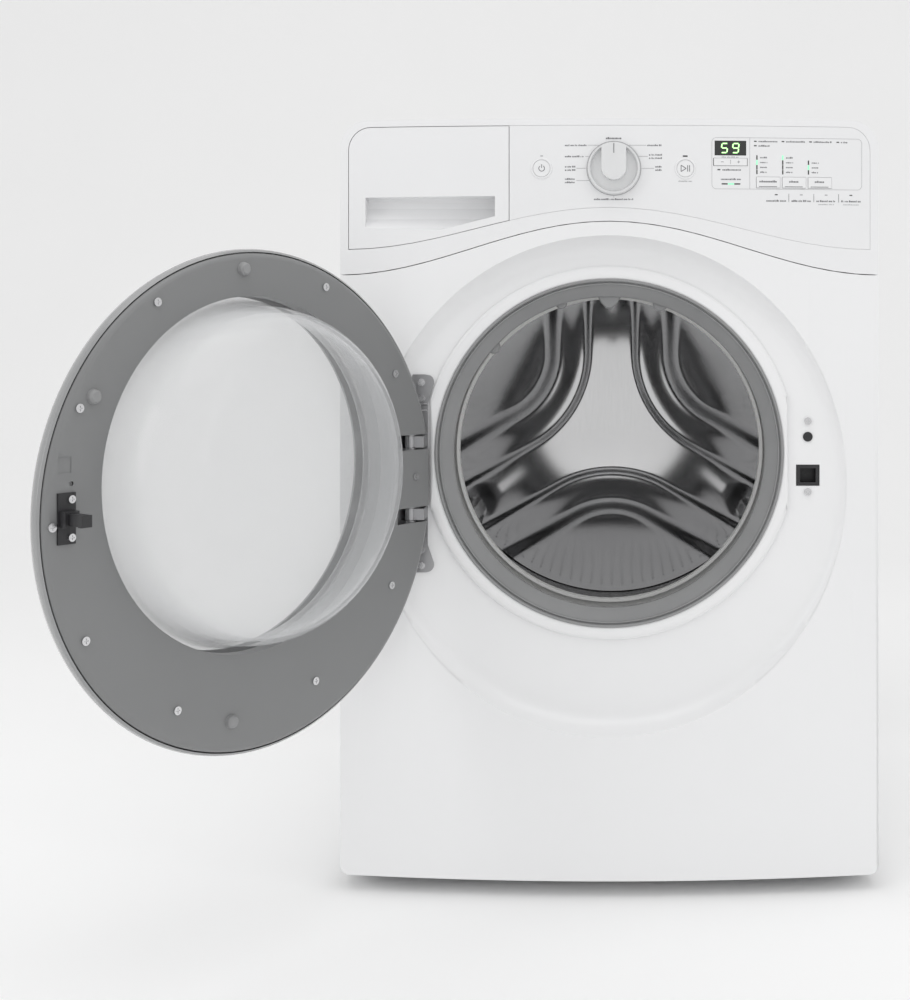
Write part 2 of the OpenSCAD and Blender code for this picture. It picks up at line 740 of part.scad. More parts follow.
// Screws of the hinge, the lock, the rear panel and the worktop
module panel_screws() color("silver") {
    for (z = hinge_screw_z) translate([hinge_screw_x, front_y - 0.02 - plate_t, z]) screw_y();
    for (z = lock_screw_z) translate([lock_x, front_y, z]) screw_y();
    for (x = [-1, 1]) {
        translate([x * (side_x - 60), rear_y, cab_h - top_t + 11]) rotate([0, 0, 180]) screw_y(8);
        for (z = rear_screw_z)
            translate([x * (side_x - 30), rear_face + sheet_t, z]) rotate([0, 0, 180]) screw_y(9);
    }
}

// ---------- water and power ----------

module inlet_valves() color("royalblue") for (x = valve_x) difference() {
    union() {
        rod_y(x, rear_face - 44, valve_z, 15, 44 - 0.1);
        rod_y(x, rear_face - 1, valve_z, spigot_r, 22);
        block([x - 12, rear_face - 40, valve_z - 40], [x + 12, rear_face - 14, valve_z]);
    }
    rod_y(x, rear_face - 6, valve_z, spigot_r - 4, 40);
}

// Rigid run of hose from the valves forward to the dispenser
module fill_hose() color("dimgray") difference() {
    union() {
        rod_y(hose_x, hose_y0 - 12, hose_z, 13.5, rear_face - 80 - hose_y0 + 12);
        rod_x(hose_x - 13.5, rear_face - 80, hose_z, 13.5, valve_x[1] - hose_x + 27);
        for (x = valve_x) rod_y(x, rear_face - 80, hose_z, 9, 80 - 44 - 0.1);
    }
    rod_y(hose_x, hose_y0 - 13, hose_z, 11.1, 14);
    rod_y(hose_x, hose_y0, hose_z, 10, rear_face - 80 - hose_y0);
}

module drain_pump() color("dimgray") {
    difference() {
        rod_y(pump_x, pump_y, pump_z, 34, 40);
        rod_y(pump_x, pump_y - 1, pump_z, 28, 34);
    }
    rod_y(pump_x, pump_y - 18, pump_z, 24, 20);
    rod_y(pump_x, pump_y + 40 - eps, pump_z, 26, 62);
    rod_x(pump_x - 62, pump_y + 16, pump_z + 20, 11, 40);
    block([pump_x - 30, pump_y + 4, foot_gap + 2.05], [pump_x + 30, pump_y + 90, pump_z - 26]);
}

// Drain pipe from the pump to the spigot on the rear panel
module drain_outlet() color("dimgray") difference() {
    union() {
        rod_y(drain_x, pump_y + 120, drain_z, 12, rear_face - 0.1 - pump_y - 120);
        rod_y(drain_x, rear_face - 6, drain_z, 20, 5.9);
        rod_y(drain_x, rear_face - 1, drain_z, 14, 20);
    }
    rod_y(drain_x, pump_y + 119, drain_z, 9.5, cab_d);
}

module cord_gland() color("black") difference() {
    union() {
        rod_y(cord_x, rear_face + sheet_t + 0.05, cord_z, 13, 6);
        rod_y(cord_x, rear_face - 8, cord_z, 9, 12);
        rod_y(cord_x, rear_face - 8, cord_z, 12, 7.9);
    }
    rod_y(cord_x, rear_face - 9, cord_z, 4.5, 40);
}

module foot(x, y) color("dimgray") translate([x * foot_x, y * foot_y, 0]) {
    cylinder(h = 8, r = foot_r);
    translate([0, 0, 8 - eps]) cylinder(h = 3, r1 = 14, r2 = 9);
    translate([0, 0, 8]) cylinder(h = foot_gap + 34, r = stem_r);
}

module foot_front_left() foot(-1, -1);
module foot_front_right() foot(1, -1);
module foot_rear_left() foot(-1, 1);
module foot_rear_right() foot(1, 1);

module foot_locknuts() color("silver") for (x = [-1, 1], y = [-1, 1])
    translate([x * foot_x, y * foot_y, foot_gap - 6]) difference() {
        cylinder(h = 5.95, r = 9.2, $fn = 6);
        translate([0, 0, -1]) cylinder(h = 8, r = stem_r + run_fit);
    }

// ---------- tub ----------

module tub_ring(y0, len, r, wall) {
    difference() {
        rod_y(0, y0, axis_h, r, len, fine);
        rod_y(0, y0 - 1, axis_h, r - wall, len + 2, fine);
    }
}

module tub_front() color("lightgray") {
    turn_y(tub_y0, axis_h) polygon([
        [drum_mouth_r - 3, -4], [drum_mouth_r + 1, -4], [drum_mouth_r + 1, 4], [tub_r - 12, 4], [tub_r, 16],
        [tub_r, tub_mid - tub_y0 - 5], [tub_r + 8, tub_mid - tub_y0 - 5], [tub_r + 8, tub_mid - tub_y0],
        [tub_r - tub_t, tub_mid - tub_y0], [tub_r - tub_t, 18], [tub_r - 14, 8],
        [drum_mouth_r - 3, 8]]);
}

// Rear half with its bearing hub, radial ribs, hangers and damper lugs
module tub_rear() color("lightgray") difference() {
    union() {
        tub_ring(tub_mid + 0.05, tub_y1 - tub_mid, tub_r, tub_t);
        tub_ring(tub_mid + 0.05, 5, tub_r + 8, 10);
        tub_ring(tub_y1 - 5, 5, tub_r, tub_r - hub_r + 2);
        tub_ring(tub_y1 - 5, hub_len + 5, hub_r, hub_r - bearing_r - 0.03);
        intersection() {
            for (a = [0:30:330]) translate([0, tub_y1 - 1, axis_h]) rotate([0, a, 0])
                block([hub_r - 2, 0, -2], [tub_r - 20, 20, 2]);
            rod_y(0, tub_y1 - 2, axis_h, tub_r - 10, 30, fine);
        }
        for (x = [-1, 1]) {
            block([x * hang_x - 10, hang_y - 12, axis_h + 160], [x * hang_x + 10, hang_y + 12, lug_top]);
            block([x * damp_x - 12, hang_y - 12, axis_h - 246], [x * damp_x + 12, hang_y + 12, axis_h - 190]);
        }
        // motor cradle
        for (x = [-1, 1]) block([x * 40 - 6, motor_y0 + 15, motor_h + 40], [x * 40 + 6, motor_y0 + motor_len - 25, axis_h - 280]);
    }
    rod_y(0, tub_mid - 20, axis_h, tub_r - tub_t, tub_y1 - 5 - tub_mid + 20, fine);
    rod_y(0, motor_y0 - 10, motor_h, motor_r + 0.05, motor_len + 20, 96);
}

lug_top = axis_h + 217;
hub_len = 2 * bearing_w + 14;

module counterweight_front() color("darkgray") difference() {
    rod_y(0, tub_y0 - 36, axis_h, tub_r - 8, 39.9, fine);
    rod_y(0, tub_y0 - 45, axis_h, mouth_r + tub_travel + 1, 60, fine);
    block([-tub_r, tub_y0 - 50, axis_h - 12], [tub_r, tub_y0 + 8, axis_h + 12]);
}

module counterweight_top() color("darkgray") difference() {
    block([-130, hang_y - 50, axis_h + 200], [130, hang_y + 110, axis_h + tub_r + 45]);
    rod_y(0, hang_y - 60, axis_h, tub_r + 0.1, 200, fine);
    rod_y(0, tub_mid - 6, axis_h, tub_r + 8.2, 12, fine);
}

module motor() color("silver") difference() {
    union() {
        rod_y(0, motor_y0, motor_h, motor_r - 5, motor_len, 96);
        for (y = [0, motor_len - 14]) rod_y(0, motor_y0 + y, motor_h, motor_r, 14, 96);
        for (a = [15:30:345]) translate([0, motor_y0 + 10, motor_h]) rotate([0, a, 0])
            block([motor_r - 7, 0, -1.5], [motor_r - 1, motor_len - 20, 1.5]);
    }
    rod_y(0, motor_y0 - 1, motor_h, 6 + run_fit, motor_len + 2);
    rod_y(0, motor_y0 + 8, motor_h, motor_r - 18, motor_len - 16, 64);
}

// Heating element lying in the tub's sump
module heater() color("silver") {
    z = axis_h - tub_r + tub_t + 8;
    for (x = [-30, 30]) rod_y(x, tub_y1 - 200, z, 4, 200 - 5.1);
    translate([0, tub_y1 - 200, z]) rotate([0, 0, 180]) rotate_extrude(angle = 180, $fn = 96)
        translate([30, 0]) circle(4, $fn = 32);
}

module bearings() color("silver") for (y = [0, bearing_w + 8]) difference() {
    rod_y(0, tub_y1 + 2 + y, axis_h, bearing_r, bearing_w);
    rod_y(0, tub_y1 + 1 + y, axis_h, shaft_r + run_fit, bearing_w + 2);
}

module damper_rods() color("silver") for (x = [-1, 1])
    translate([x * damp_x, hang_y, foot_gap + 110]) cylinder(h = axis_h - 246 - 0.05 - foot_gap - 110, r = 5);

module damper_cylinders() color("dimgray") for (x = [-1, 1]) translate([x * damp_x, hang_y, 0]) difference() {
    translate([0, 0, foot_gap + 2.05]) cylinder(h = 190, r = 15);
    translate([0, 0, foot_gap + 20]) cylinder(h = 190, r = 5 + run_fit);
}

// Envelope of the two hanging coil springs
module suspension_springs() color("silver") for (x = [-1, 1]) translate([x * hang_x, hang_y, 0]) difference() {
    translate([0, 0, lug_top + lug_gap]) cylinder(h = spring_top - lug_top - lug_gap - 0.1, r = 15);
    translate([0, 0, lug_top + lug_gap - 1]) cylinder(h = spring_top, r = 11.5);
}

// Closed belt outline round both pulleys, grown by "out"
module belt_loop(out) {
    span = axis_h - motor_h;
    lean = asin((pulley_r - pinion_r) / span);
    ra = pulley_r + out;
    rb = pinion_r + out;
    function touch(z, r, s) = [s * r * cos(lean), z - r * sin(lean)];
    translate([0, axis_h]) circle(ra, $fn = fine);
    translate([0, motor_h]) circle(rb, $fn = 64);
    polygon([touch(axis_h, ra, -1), touch(axis_h, ra, 1), touch(motor_h, rb, 1), touch(motor_h, rb, -1)]);
}

module drive_belt() color("black") upright(pulley_y + pulley_w - 2, pulley_w - 4) difference() {
    belt_loop(3.4);
    belt_loop(0.4);
}

// ---------- drum ----------

star_r = 174;          // rounding of each field's inner corner
star_arm = 33;         // half width of an arm
star_deep = 17;
star_c = (star_arm + star_r) / sin(60);

// Fields of the drum's back, between the three arms of the star
module star_fields(grow) {
    corner = arc(star_c, 0, star_r + grow, 150, 210, 24);
    reach = [cos(60), sin(60)] * drum_r;
    for (a = [30, 150, 270]) rotate(a)
        polygon(concat([corner[0] + reach], corner, [corner[24] + [reach[0], -reach[1]]]));
}

module star_wall() intersection() {
    upright(drum_y1, star_deep) translate([0, axis_h]) difference() {
        star_fields(1.2);
        star_fields(0);
    }
    rod_y(0, drum_y1 - star_deep - 1, axis_h, drum_r - 0.6, star_deep + 2, fine);
}

module drum() color("silver") {
    t = 1.2;
    // shell with a rolled front lip
    turn_y(drum_y0, axis_h) polygon([
        [drum_mouth_r + 4, 0], [drum_r - 16, 0], [drum_r, 16], [drum_r, drum_len], [0, drum_len],
        [0, drum_len - t], [drum_r - t, drum_len - t], [drum_r - t, 17], [drum_r - 17, t],
        [drum_mouth_r + 5, t], [drum_mouth_r + 5, 8], [drum_mouth_r + 4, 8]]);
    // raised three-armed plateau of the back
    intersection() {
        upright(drum_y1 - star_deep + t, t) translate([0, axis_h]) difference() {
            circle(drum_r - 0.5, $fn = fine);
            star_fields(0);
        }
        rod_y(0, drum_y1 - star_deep - 2, axis_h, drum_r - 0.6, star_deep, fine);
    }
    star_wall();
}

// Three hollow lifters along the shell, in line with the star's arms
module baffles() color("lightgray") for (a = [90, 210, 330])
    translate([0, drum_y0 + 60, axis_h]) rotate([0, a - 90, 0]) intersection() {
        translate([0, 0, drum_r - 1.25]) rotate([-90, 0, 0]) difference() {
            linear_extrude(drum_len - 160)
                polygon([[-38, 0], [-15, 34], [-8, 39], [8, 39], [15, 34], [38, 0], [38, -8], [-38, -8]]);
            translate([0, 0, 1.2]) linear_extrude(drum_len - 162.4)
                polygon([[-36.8, -0.4], [-14.1, 33.2], [-7.6, 37.8], [7.6, 37.8], [14.1, 33.2],
                    [36.8, -0.4], [36.8, -9], [-36.8, -9]]);
        }
        rod_y(0, -1, 0, drum_r - 1.25, drum_len, fine);
    }

module spider() color("silver") difference() {
    union() {
        for (a = [90, 210, 330]) translate([0, drum_y1 + 0.05, axis_h]) rotate([0, -a, 0])
            rotate([-90, 0, 0]) linear_extrude(spider_t - 6)
                polygon([[0, -26], [drum_r - 30, -14], [drum_r - 12, -22], [drum_r - 12, 22],
                    [drum_r - 30, 14], [0, 26]]);
        rod_y(0, drum_y1 + 0.05, axis_h, hub_r - 6, spider_t);
    }
    rod_y(0, drum_y1 - 1, axis_h, shaft_r, spider_t + 4);
}

module drum_shaft() color("silver") difference() {
    union() {
        rod_y(0, drum_y1 + 0.05, axis_h, shaft_r, pulley_y + pulley_w + 2 - drum_y1);
        rod_y(0, pulley_y + pulley_w + 2, axis_h, 9, 6, 6);
    }
    rod_y(0, pulley_y + pulley_w + 4, axis_h, 3, 10);
}

module drum_pulley() color("silver") difference() {
    union() {
        turn_y(pulley_y, axis_h) polygon([[pulley_r - 8, 0], [pulley_r + 3, 0], [pulley_r, 1.6],
            [pulley_r, pulley_w - 1.6], [pulley_r + 3, pulley_w], [pulley_r - 8, pulley_w]]);
        rod_y(0, pulley_y, axis_h, 30, pulley_w);
        for (a = [0:60:300]) translate([0, pulley_y + 4, axis_h]) rotate([0, a, 0])
            block([20, 0, -9], [pulley_r - 6, 8, 9]);
    }
    rod_y(0, pulley_y - 1, axis_h, shaft_r, pulley_w + 2);
}

module motor_rotor() color("gray") {
    rod_y(0, motor_y0 - 6, motor_h, 6, pulley_y + pulley_w + 2 - motor_y0 + 6);
    rod_y(0, motor_y0 + 12, motor_h, motor_r - 22, motor_len - 24, 64);
    rod_y(0, pulley_y, motor_h, pinion_r, pulley_w);
    for (y = [0, pulley_w - 1.6]) rod_y(0, pulley_y + y, motor_h, pinion_r + 3, 1.6);
}

// ---------- door ----------

// Swings the closed door about its hinge to where it stands open
module swing_open() {
    translate([hinge_x, hinge_y, 0]) rotate([0, 0, -door_open])
        translate([-hinge_x, -hinge_y, 0]) children();
}

// Slots through the liner and the rim that the hinge arms work in
module arm_slots() {
    for (z = arm_z) block([-door_r - 5, hinge_y - 11, z - arm_h / 2 - 2.5],
        [hinge_x + 34, liner_y + 2, z + arm_h / 2 + 2.5]);
}

// Outer ring, from the edge beside the liner round to the window
module door_frame() color("white") swing_open() difference() {
    turn_y(front_y, door_h) polygon([
        [door_r - 3.5, -31], [door_r - 1, -33], [door_r, -37], [door_r - 1.5, -43], [door_r - 6, -50],
        [door_r - 14, -56.5], [door_r - 28, -63], [door_r - 48, -68.5], [door_r - 70, -72],
        [window_r - 36, -72], [window_r - 36, -69.5], [door_r - 70, -69.5], [door_r - 48.6, -66.1],
        [door_r - 29.2, -60.7], [door_r - 15.8, -54.6], [door_r - 8.3, -48.6], [door_r - 4, -42],
        [door_r - 3, -37], [door_r - 3.5, -35]]);
    arm_slots();
    rod_y(window_x, front_y - 90, window_h, window_r, 40, fine);
}

module door_window() color("lightblue", 0.4) swing_open() intersection() {
    difference() {
        translate([window_x, window_bulge_y, window_h]) sphere(window_bulge_r, $fn = fine);
        translate([window_x, window_bulge_y, window_h]) sphere(window_bulge_r - 3, $fn = fine);
    }
    rod_y(window_x, front_y - 110, window_h, window_r - 0.1, 60, fine);
}

// The outer window is a shallow cap of a large sphere
window_bulge_r = 1100;
window_bulge_y = front_y - 89.5 + window_bulge_r;

// Inner plate with a turned-down rim and a collar round the window
module door_liner() color("gray") swing_open() difference() {
    union() {
        turn_y(front_y, door_h) polygon([
            [150, -liner_gap], [door_r - 11.5, -liner_gap], [door_r - 7, -liner_gap - 1.6],
            [door_r - 5, -liner_gap - 5], [door_r - 5, -liner_gap - 12], [door_r - 7.5, -liner_gap - 12],
            [door_r - 7.5, -liner_gap - 6], [door_r - 12.5, -liner_gap - liner_t], [150, -liner_gap - liner_t]]);
        turn_y(front_y, window_h, window_x) polygon([[window_r, -liner_gap], [window_r + liner_t, -liner_gap],
            [window_r + liner_t, -44], [window_r, -44]]);
    }
    rod_y(window_x, front_y - 60, window_h, window_r, 60, fine);
    arm_slots();
    for (p = door_screw_at) rod_y(p[0], liner_y - 6, p[1], 2.1, 12);
    for (p = strike_screw_at) rod_y(p[0], liner_y - 6, p[1], 2.1, 12);
    block([lock_x - 8, liner_y - 1, lock_z + 45], [lock_x + 7, liner_y + 1, lock_z + 61]);
    rod_y(lock_x - 8, liner_y - 6, lock_z + 34, 2.6, 12);
}

// Clear bowl that reaches back into the gasket
module door_glass() color("lightblue", 0.4) swing_open() turn_y(front_y, window_h, window_x) polygon([
    [window_r + 4, -50], [window_r + 4, -45], [window_r - 5, -45], [window_r - 9, -26], [window_r - 12, 0],
    [window_r - 17, 20], [window_r - 27, bowl_depth - 24], [window_r - 41, bowl_depth - 12],
    [window_r - 64, bowl_depth - 5], [window_r - 112, bowl_depth - 1], [0, bowl_depth],
    [0, bowl_depth - 5], [window_r - 112, bowl_depth - 6], [window_r - 65, bowl_depth - 10],
    [window_r - 44, bowl_depth - 16.5], [window_r - 31.5, bowl_depth - 26.5], [window_r - 22, 19],
    [window_r - 17, -1], [window_r - 14, -28], [window_r - 10, -50]]);

function polar(r, a) = [r * cos(a), door_h + r * sin(a)];

// Distance inside the door's edge, and angle, of each screw and bumper
door_screw_at = [for (p = [[19, 25.5], [19, 57], [23, 111.5], [31, 147], [35, 178.3], [44, 211],
    [51, 250], [39, 299], [22, 332.4], [13.5, 359.4]]) polar(door_r - p[0], p[1])];
strike_screw_at = [[lock_x - 6, lock_z - 19], [lock_x - 6, lock_z + 19]];
bumper_at = [for (p = [[22, 84], [29, 29.4], [39, -79.5]]) polar(door_r - p[0], p[1])];

module door_screws() color("silver") swing_open() {
    for (p = door_screw_at) translate([p[0], liner_y, p[1]]) rotate([0, 0, 180]) screw_y(10);
    for (p = strike_screw_at) translate([p[0], liner_y + 2.45, p[1]]) rotate([0, 0, 180]) screw_y(10, 4, 2);
}

module door_bumpers() color("dimgray") swing_open() for (p = bumper_at)
    turn_y(liner_y + 0.02, p[1], p[0], 64) polygon([[0, 0], [8, 0], [7, 4], [5, 6], [0, 6]]);

// Black plate with the hook that enters the lock
module strike_hook() color("black") swing_open() difference() {
    union() {
        block([lock_x - 11.5, liner_y + 0.02, lock_z - 25.5], [lock_x + 8.5, liner_y + 2.42, lock_z + 25.5]);
        block([lock_x - 5, liner_y + 2, lock_z - 6], [lock_x + 3, front_y + 12, lock_z + 6]);
        block([lock_x - 9, liner_y + 2, lock_z - 8], [lock_x + 7, liner_y + 12, lock_z + 8]);
        block([lock_x - 5, front_y + 6, lock_z - 6], [lock_x + 7, front_y + 12, lock_z + 6]);
    }
    for (p = strike_screw_at) rod_y(p[0], liner_y - 1, p[1], 2.05, 12);
}

// Steel leaf inside the door, with an ear above and below each arm
module hinge_leaf() color("silver") swing_open() difference() {
    leaf_y = hinge_y - 10;
    union() {
        block([hinge_x - 12, leaf_y, arm_z[0] - 26], [hinge_x + 26, leaf_y + 2, arm_z[1] + 26]);
        for (z = arm_z, s = [-1, 1]) translate([0, 0, z + s * (arm_h / 2 + 3.1) - 2.4]) linear_extrude(4.8) union() {
            translate([hinge_x, hinge_y]) circle(7.5, $fn = 48);
            translate([hinge_x - 7.5, leaf_y + 1]) square([15, hinge_y - leaf_y - 1]);
        }
    }
    for (z = arm_z) translate([hinge_x, hinge_y, z - 30]) cylinder(h = 60, r = hinge_pin_r + run_fit);
}

worktop();
side_panel_left();
side_panel_right();
rear_panel();
base_pan();
front_panel();
console_frame();
control_fascia();
display_window();
control_board();
dispenser_housing();
hinge_bracket();
hinge_pins();
panel_screws();
door_lock();
gasket();
inlet_valves();
fill_hose();
drain_pump();
drain_outlet();
damper_cylinders();
suspension_springs();
cord_gland();
foot_locknuts();
foot_front_left();
foot_front_right();
foot_rear_left();
foot_rear_right();
tub_front();
tub_rear();
counterweight_front();
counterweight_top();
motor();
heater();
bearings();
damper_rods();
drive_belt();
drum();
baffles();
spider();
drum_shaft();
drum_pulley();
motor_rotor();
drawer_front();
drawer_tray();
knob();
power_button();
start_button();
temp_button();
spin_button();
soil_button();
time_rocker();
door_frame();
door_window();
door_liner();
door_glass();
door_screws();
door_bumpers();
strike_hook();
hinge_leaf();
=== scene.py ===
# %% [markdown]
# # A front load washing machine, door open
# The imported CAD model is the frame: it holds every part that turns, slides or carries load.
# This script gives those parts their finishes and adds what is drawn, pressed, punched or
# blown rather than machined: the drum's polished back, the glass, the rubber ring, the print.

# %% Frame
import json
import math

import bmesh
import bpy
from mathutils import Matrix, Vector


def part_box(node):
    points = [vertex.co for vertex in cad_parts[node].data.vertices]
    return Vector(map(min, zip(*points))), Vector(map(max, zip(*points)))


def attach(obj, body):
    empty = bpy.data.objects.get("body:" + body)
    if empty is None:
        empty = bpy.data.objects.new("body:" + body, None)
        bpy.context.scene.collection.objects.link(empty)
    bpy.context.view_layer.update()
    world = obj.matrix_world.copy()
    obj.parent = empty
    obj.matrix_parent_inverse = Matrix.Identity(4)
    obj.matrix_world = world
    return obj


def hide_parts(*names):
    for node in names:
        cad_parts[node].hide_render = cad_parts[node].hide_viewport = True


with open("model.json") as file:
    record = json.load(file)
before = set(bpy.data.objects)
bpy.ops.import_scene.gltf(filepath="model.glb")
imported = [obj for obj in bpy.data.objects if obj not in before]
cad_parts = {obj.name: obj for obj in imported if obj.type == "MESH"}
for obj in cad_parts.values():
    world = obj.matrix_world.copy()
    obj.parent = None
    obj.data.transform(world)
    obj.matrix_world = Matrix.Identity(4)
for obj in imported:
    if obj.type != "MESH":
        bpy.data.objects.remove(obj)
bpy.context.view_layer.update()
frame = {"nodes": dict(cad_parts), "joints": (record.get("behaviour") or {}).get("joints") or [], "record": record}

mm = 0.001
nodes = frame["nodes"]

# %% [markdown]
# ## Where things are
# Every place comes from the boxes of the CAD parts, so a piece stays on its part when a size
# changes. The front is a shallow bow: a large circle seen from above, whose radius follows
# from the cabinet's half width and from how far its middle stands out.

# %% Places
def middle(node):
    low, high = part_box(node)
    return (low + high) / 2


side_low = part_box("side_panel_left")[0]
half_width = -side_low.x
front_y = side_low.y - 29 * mm
bow = front_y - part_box("front_panel")[0].y
bow_radius = (half_width ** 2 + bow ** 2) / (2 * bow)
bow_middle = front_y - bow + bow_radius
axis_z = middle("drum").z
window_z = middle("door_glass").z
print("bow radius", round(bow_radius, 3), "drum axis", round(axis_z, 3))


def bow_at(x):
    """Y of the bowed front at x."""
    return bow_middle - math.sqrt(bow_radius ** 2 - x ** 2)


def on_front(x, z, out=0.0):
    """Point on the bowed front, moved straight outwards."""
    lean = math.asin(x / bow_radius)
    return Vector((x + out * math.sin(lean), bow_at(x) - out * math.cos(lean), z))


door_joint = next(j for j in frame["joints"] if j["name"] == "door_hinge")
hinge = Vector(door_joint["pos_m"])
swing_angle = math.radians(door_joint["range_deg"][1])
swing = (Matrix.Translation(hinge) @ Matrix.Rotation(-swing_angle, 4, "Z")
         @ Matrix.Translation(-hinge))
print("door stands open by", round(math.degrees(swing_angle)), "degrees")

# %% [markdown]
# ## Sums on sockets
# A finish is a small sum: base tone plus a little noise, times a mask. Node editors write
# that as many boxes and wires. One class lets a socket take part in plain Python sums, and
# one method makes any other node from its type, its settings and its sockets.

# %% Finish helper
class Num:
    """A number socket that +, -, *, / and ** work on."""

    def __init__(self, finish, socket):
        self.finish, self.socket = finish, socket

    def sum(self, operation, *values):
        return self.finish.num("ShaderNodeMath", {"operation": operation},
                               {i: v for i, v in enumerate(values)})

    def __add__(self, other): return self.sum("ADD", self, other)
    def __sub__(self, other): return self.sum("SUBTRACT", self, other)
    def __mul__(self, other): return self.sum("MULTIPLY", self, other)
    def __truediv__(self, other): return self.sum("DIVIDE", self, other)
    def __pow__(self, other): return self.sum("POWER", self, other)
    def __rsub__(self, other): return self.sum("SUBTRACT", other, self)
    def __rtruediv__(self, other): return self.sum("DIVIDE", other, self)
    __radd__, __rmul__ = __add__, __mul__

    def clamp(self):
        return self.finish.num("ShaderNodeClamp", {}, {"Value": self})


class Finish:
    """One material: its shader, and the nodes that feed it."""

    def __init__(self, name):
        self.material = bpy.data.materials.new(name)
        self.material.use_nodes = True
        self.tree = self.material.node_tree
        self.tree.nodes.clear()
        self.output = self.node("ShaderNodeOutputMaterial")
        self.shader = self.node("ShaderNodeBsdfPrincipled")
        self.link(self.shader.outputs[0], self.output.inputs[0])
        self.place = self.node("ShaderNodeTexCoord").outputs["Object"]

    def link(self, value, socket):
        self.tree.links.new(value.socket if isinstance(value, Num) else value, socket)

    def node(self, kind, settings=None, sockets=None):
        made = self.tree.nodes.new(kind)
        for key, value in (settings or {}).items():
            if key == "stops":
                ramp = made.color_ramp.elements
                while len(ramp) < len(value):
                    ramp.new(0.5)
                for stop, (place, tone) in zip(ramp, value):
                    stop.position, stop.color = place, (*tone, 1)
            else:
                setattr(made, key, value)
        for key, value in (sockets or {}).items():
            self.feed(made.inputs[key], value)
        return made

    def feed(self, socket, value):
        if isinstance(value, (Num, bpy.types.NodeSocket)):
            self.link(value, socket)
        elif hasattr(value, "__len__") and len(value) == 3 and socket.type == "RGBA":
            socket.default_value = (*value, 1)
        else:
            socket.default_value = value

    def num(self, kind, settings=None, sockets=None, out=0):
        return Num(self, self.node(kind, settings, sockets).outputs[out])

    def stretched(self, scale):
        return self.node("ShaderNodeMapping", {}, {"Vector": self.place, "Scale": scale}).outputs[0]

    def noise(self, scale, detail=2.0, place=None):
        return self.num("ShaderNodeTexNoise", {}, {"Vector": place or self.place, "Scale": scale,
                                                   "Detail": detail})

    def tones(self, mask, dark, light):
        """Colour between two tones where mask goes from 0 to 1."""
        return self.node("ShaderNodeMix", {"data_type": "RGBA"},
                         {0: mask, 6: dark, 7: light}).outputs[2]

    def bump(self, height, distance, strength=1.0):
        return self.node("ShaderNodeBump", {}, {"Height": height, "Distance": distance,
                                                "Strength": strength}).outputs[0]

    def set(self, **values):
        for key, value in values.items():
            self.feed(self.shader.inputs[key.replace("_", " ")], value)
        return self


def shade(tone, by):
    return tuple(min(1.0, c * by) for c in tone)


# %% [markdown]
# ## Enamel and moulded plastic
# Baked enamel is a smooth coat with the faint dimples of sprayed paint, a few millimetres
# across, under a hard clear gloss. Injection moulded plastic is similar but a little softer
# and finer. Both get a slow drift in tone and roughness, as no large panel is quite even.

# %% Coated finishes
def coated(name, tone, rough, coat=0.0, grain=400.0, depth=0.00002, drift=0.03, coat_rough=0.08):
    """Smooth coloured coat with fine dimples and a slow drift in tone."""
    f = Finish(name)
    cloud = f.noise(3.0, 3.0)
    fine = f.noise(grain, 1.0)
    wear = f.noise(30.0, 4.0)
    return f.set(Base_Color=f.tones(cloud, shade(tone, 1 - drift), shade(tone, 1 + drift)),
                 Roughness=rough + (wear - 0.5) * 0.08,
                 Coat_Weight=coat, Coat_Roughness=coat_rough,
                 Normal=f.bump(fine + cloud * 2.0, depth, 0.25)).material


enamel = coated("white_enamel_finish", (0.86, 0.862, 0.868), 0.32, coat=0.35, grain=260)
white_plastic = coated("white_plastic_finish", (0.84, 0.842, 0.85), 0.30, coat=0.25, grain=700)
fascia_print = coated("fascia_finish", (0.83, 0.832, 0.84), 0.34, coat=0.2, grain=900)
satin_plastic = coated("inner_plastic_finish", (0.78, 0.78, 0.77), 0.5, grain=500, depth=0.00005)
black_plastic = coated("black_plastic_finish", (0.022, 0.022, 0.024), 0.42, grain=600, depth=0.00006)
pump_plastic = coated("pump_plastic_finish", (0.09, 0.09, 0.1), 0.55, grain=500, depth=0.00006)
liner_plastic = coated("liner_finish", (0.215, 0.218, 0.22), 0.42, coat=0.15, grain=1100,
                       depth=0.00004, drift=0.05)
rim_plastic = coated("door_rim_finish", (0.30, 0.303, 0.306), 0.2, coat=0.8, grain=800)
knob_plastic = coated("knob_finish", (0.74, 0.745, 0.75), 0.26, coat=0.4, grain=900)
display_black = coated("display_finish", (0.008, 0.010, 0.009), 0.12, coat=0.8, grain=900, drift=0.2)
valve_plastic = coated("valve_finish", (0.72, 0.73, 0.76), 0.45, grain=500)
coil_paint = coated("spring_finish", (0.10, 0.10, 0.11), 0.35, coat=0.3)
print("coated finishes made")

# %% [markdown]
# ## Metals
# Rolled and brushed steel carry fine streaks along one direction: noise squeezed along that
# direction, feeding roughness and a slight bump. The drum is polished until the streaks are
# hair fine, so its shape is read from what it mirrors.

# %% Metal finishes
def metal(name, tone, rough, stretch, streak=0.15, depth=0.00003):
    """Metal with streaks that run along the least stretched direction."""
    f = Finish(name)
    lines = f.noise(1.0, 3.0, f.stretched(stretch))
    cloud = f.noise(9.0, 3.0)
    return f.set(Base_Color=f.tones(lines * 0.6 + cloud * 0.4, shade(tone, 0.86), shade(tone, 1.08)),
                 Metallic=1.0, Roughness=(rough + (lines - 0.5) * streak + (cloud - 0.5) * 0.08).clamp(),
                 Normal=f.bump(lines, depth, 0.4)).material


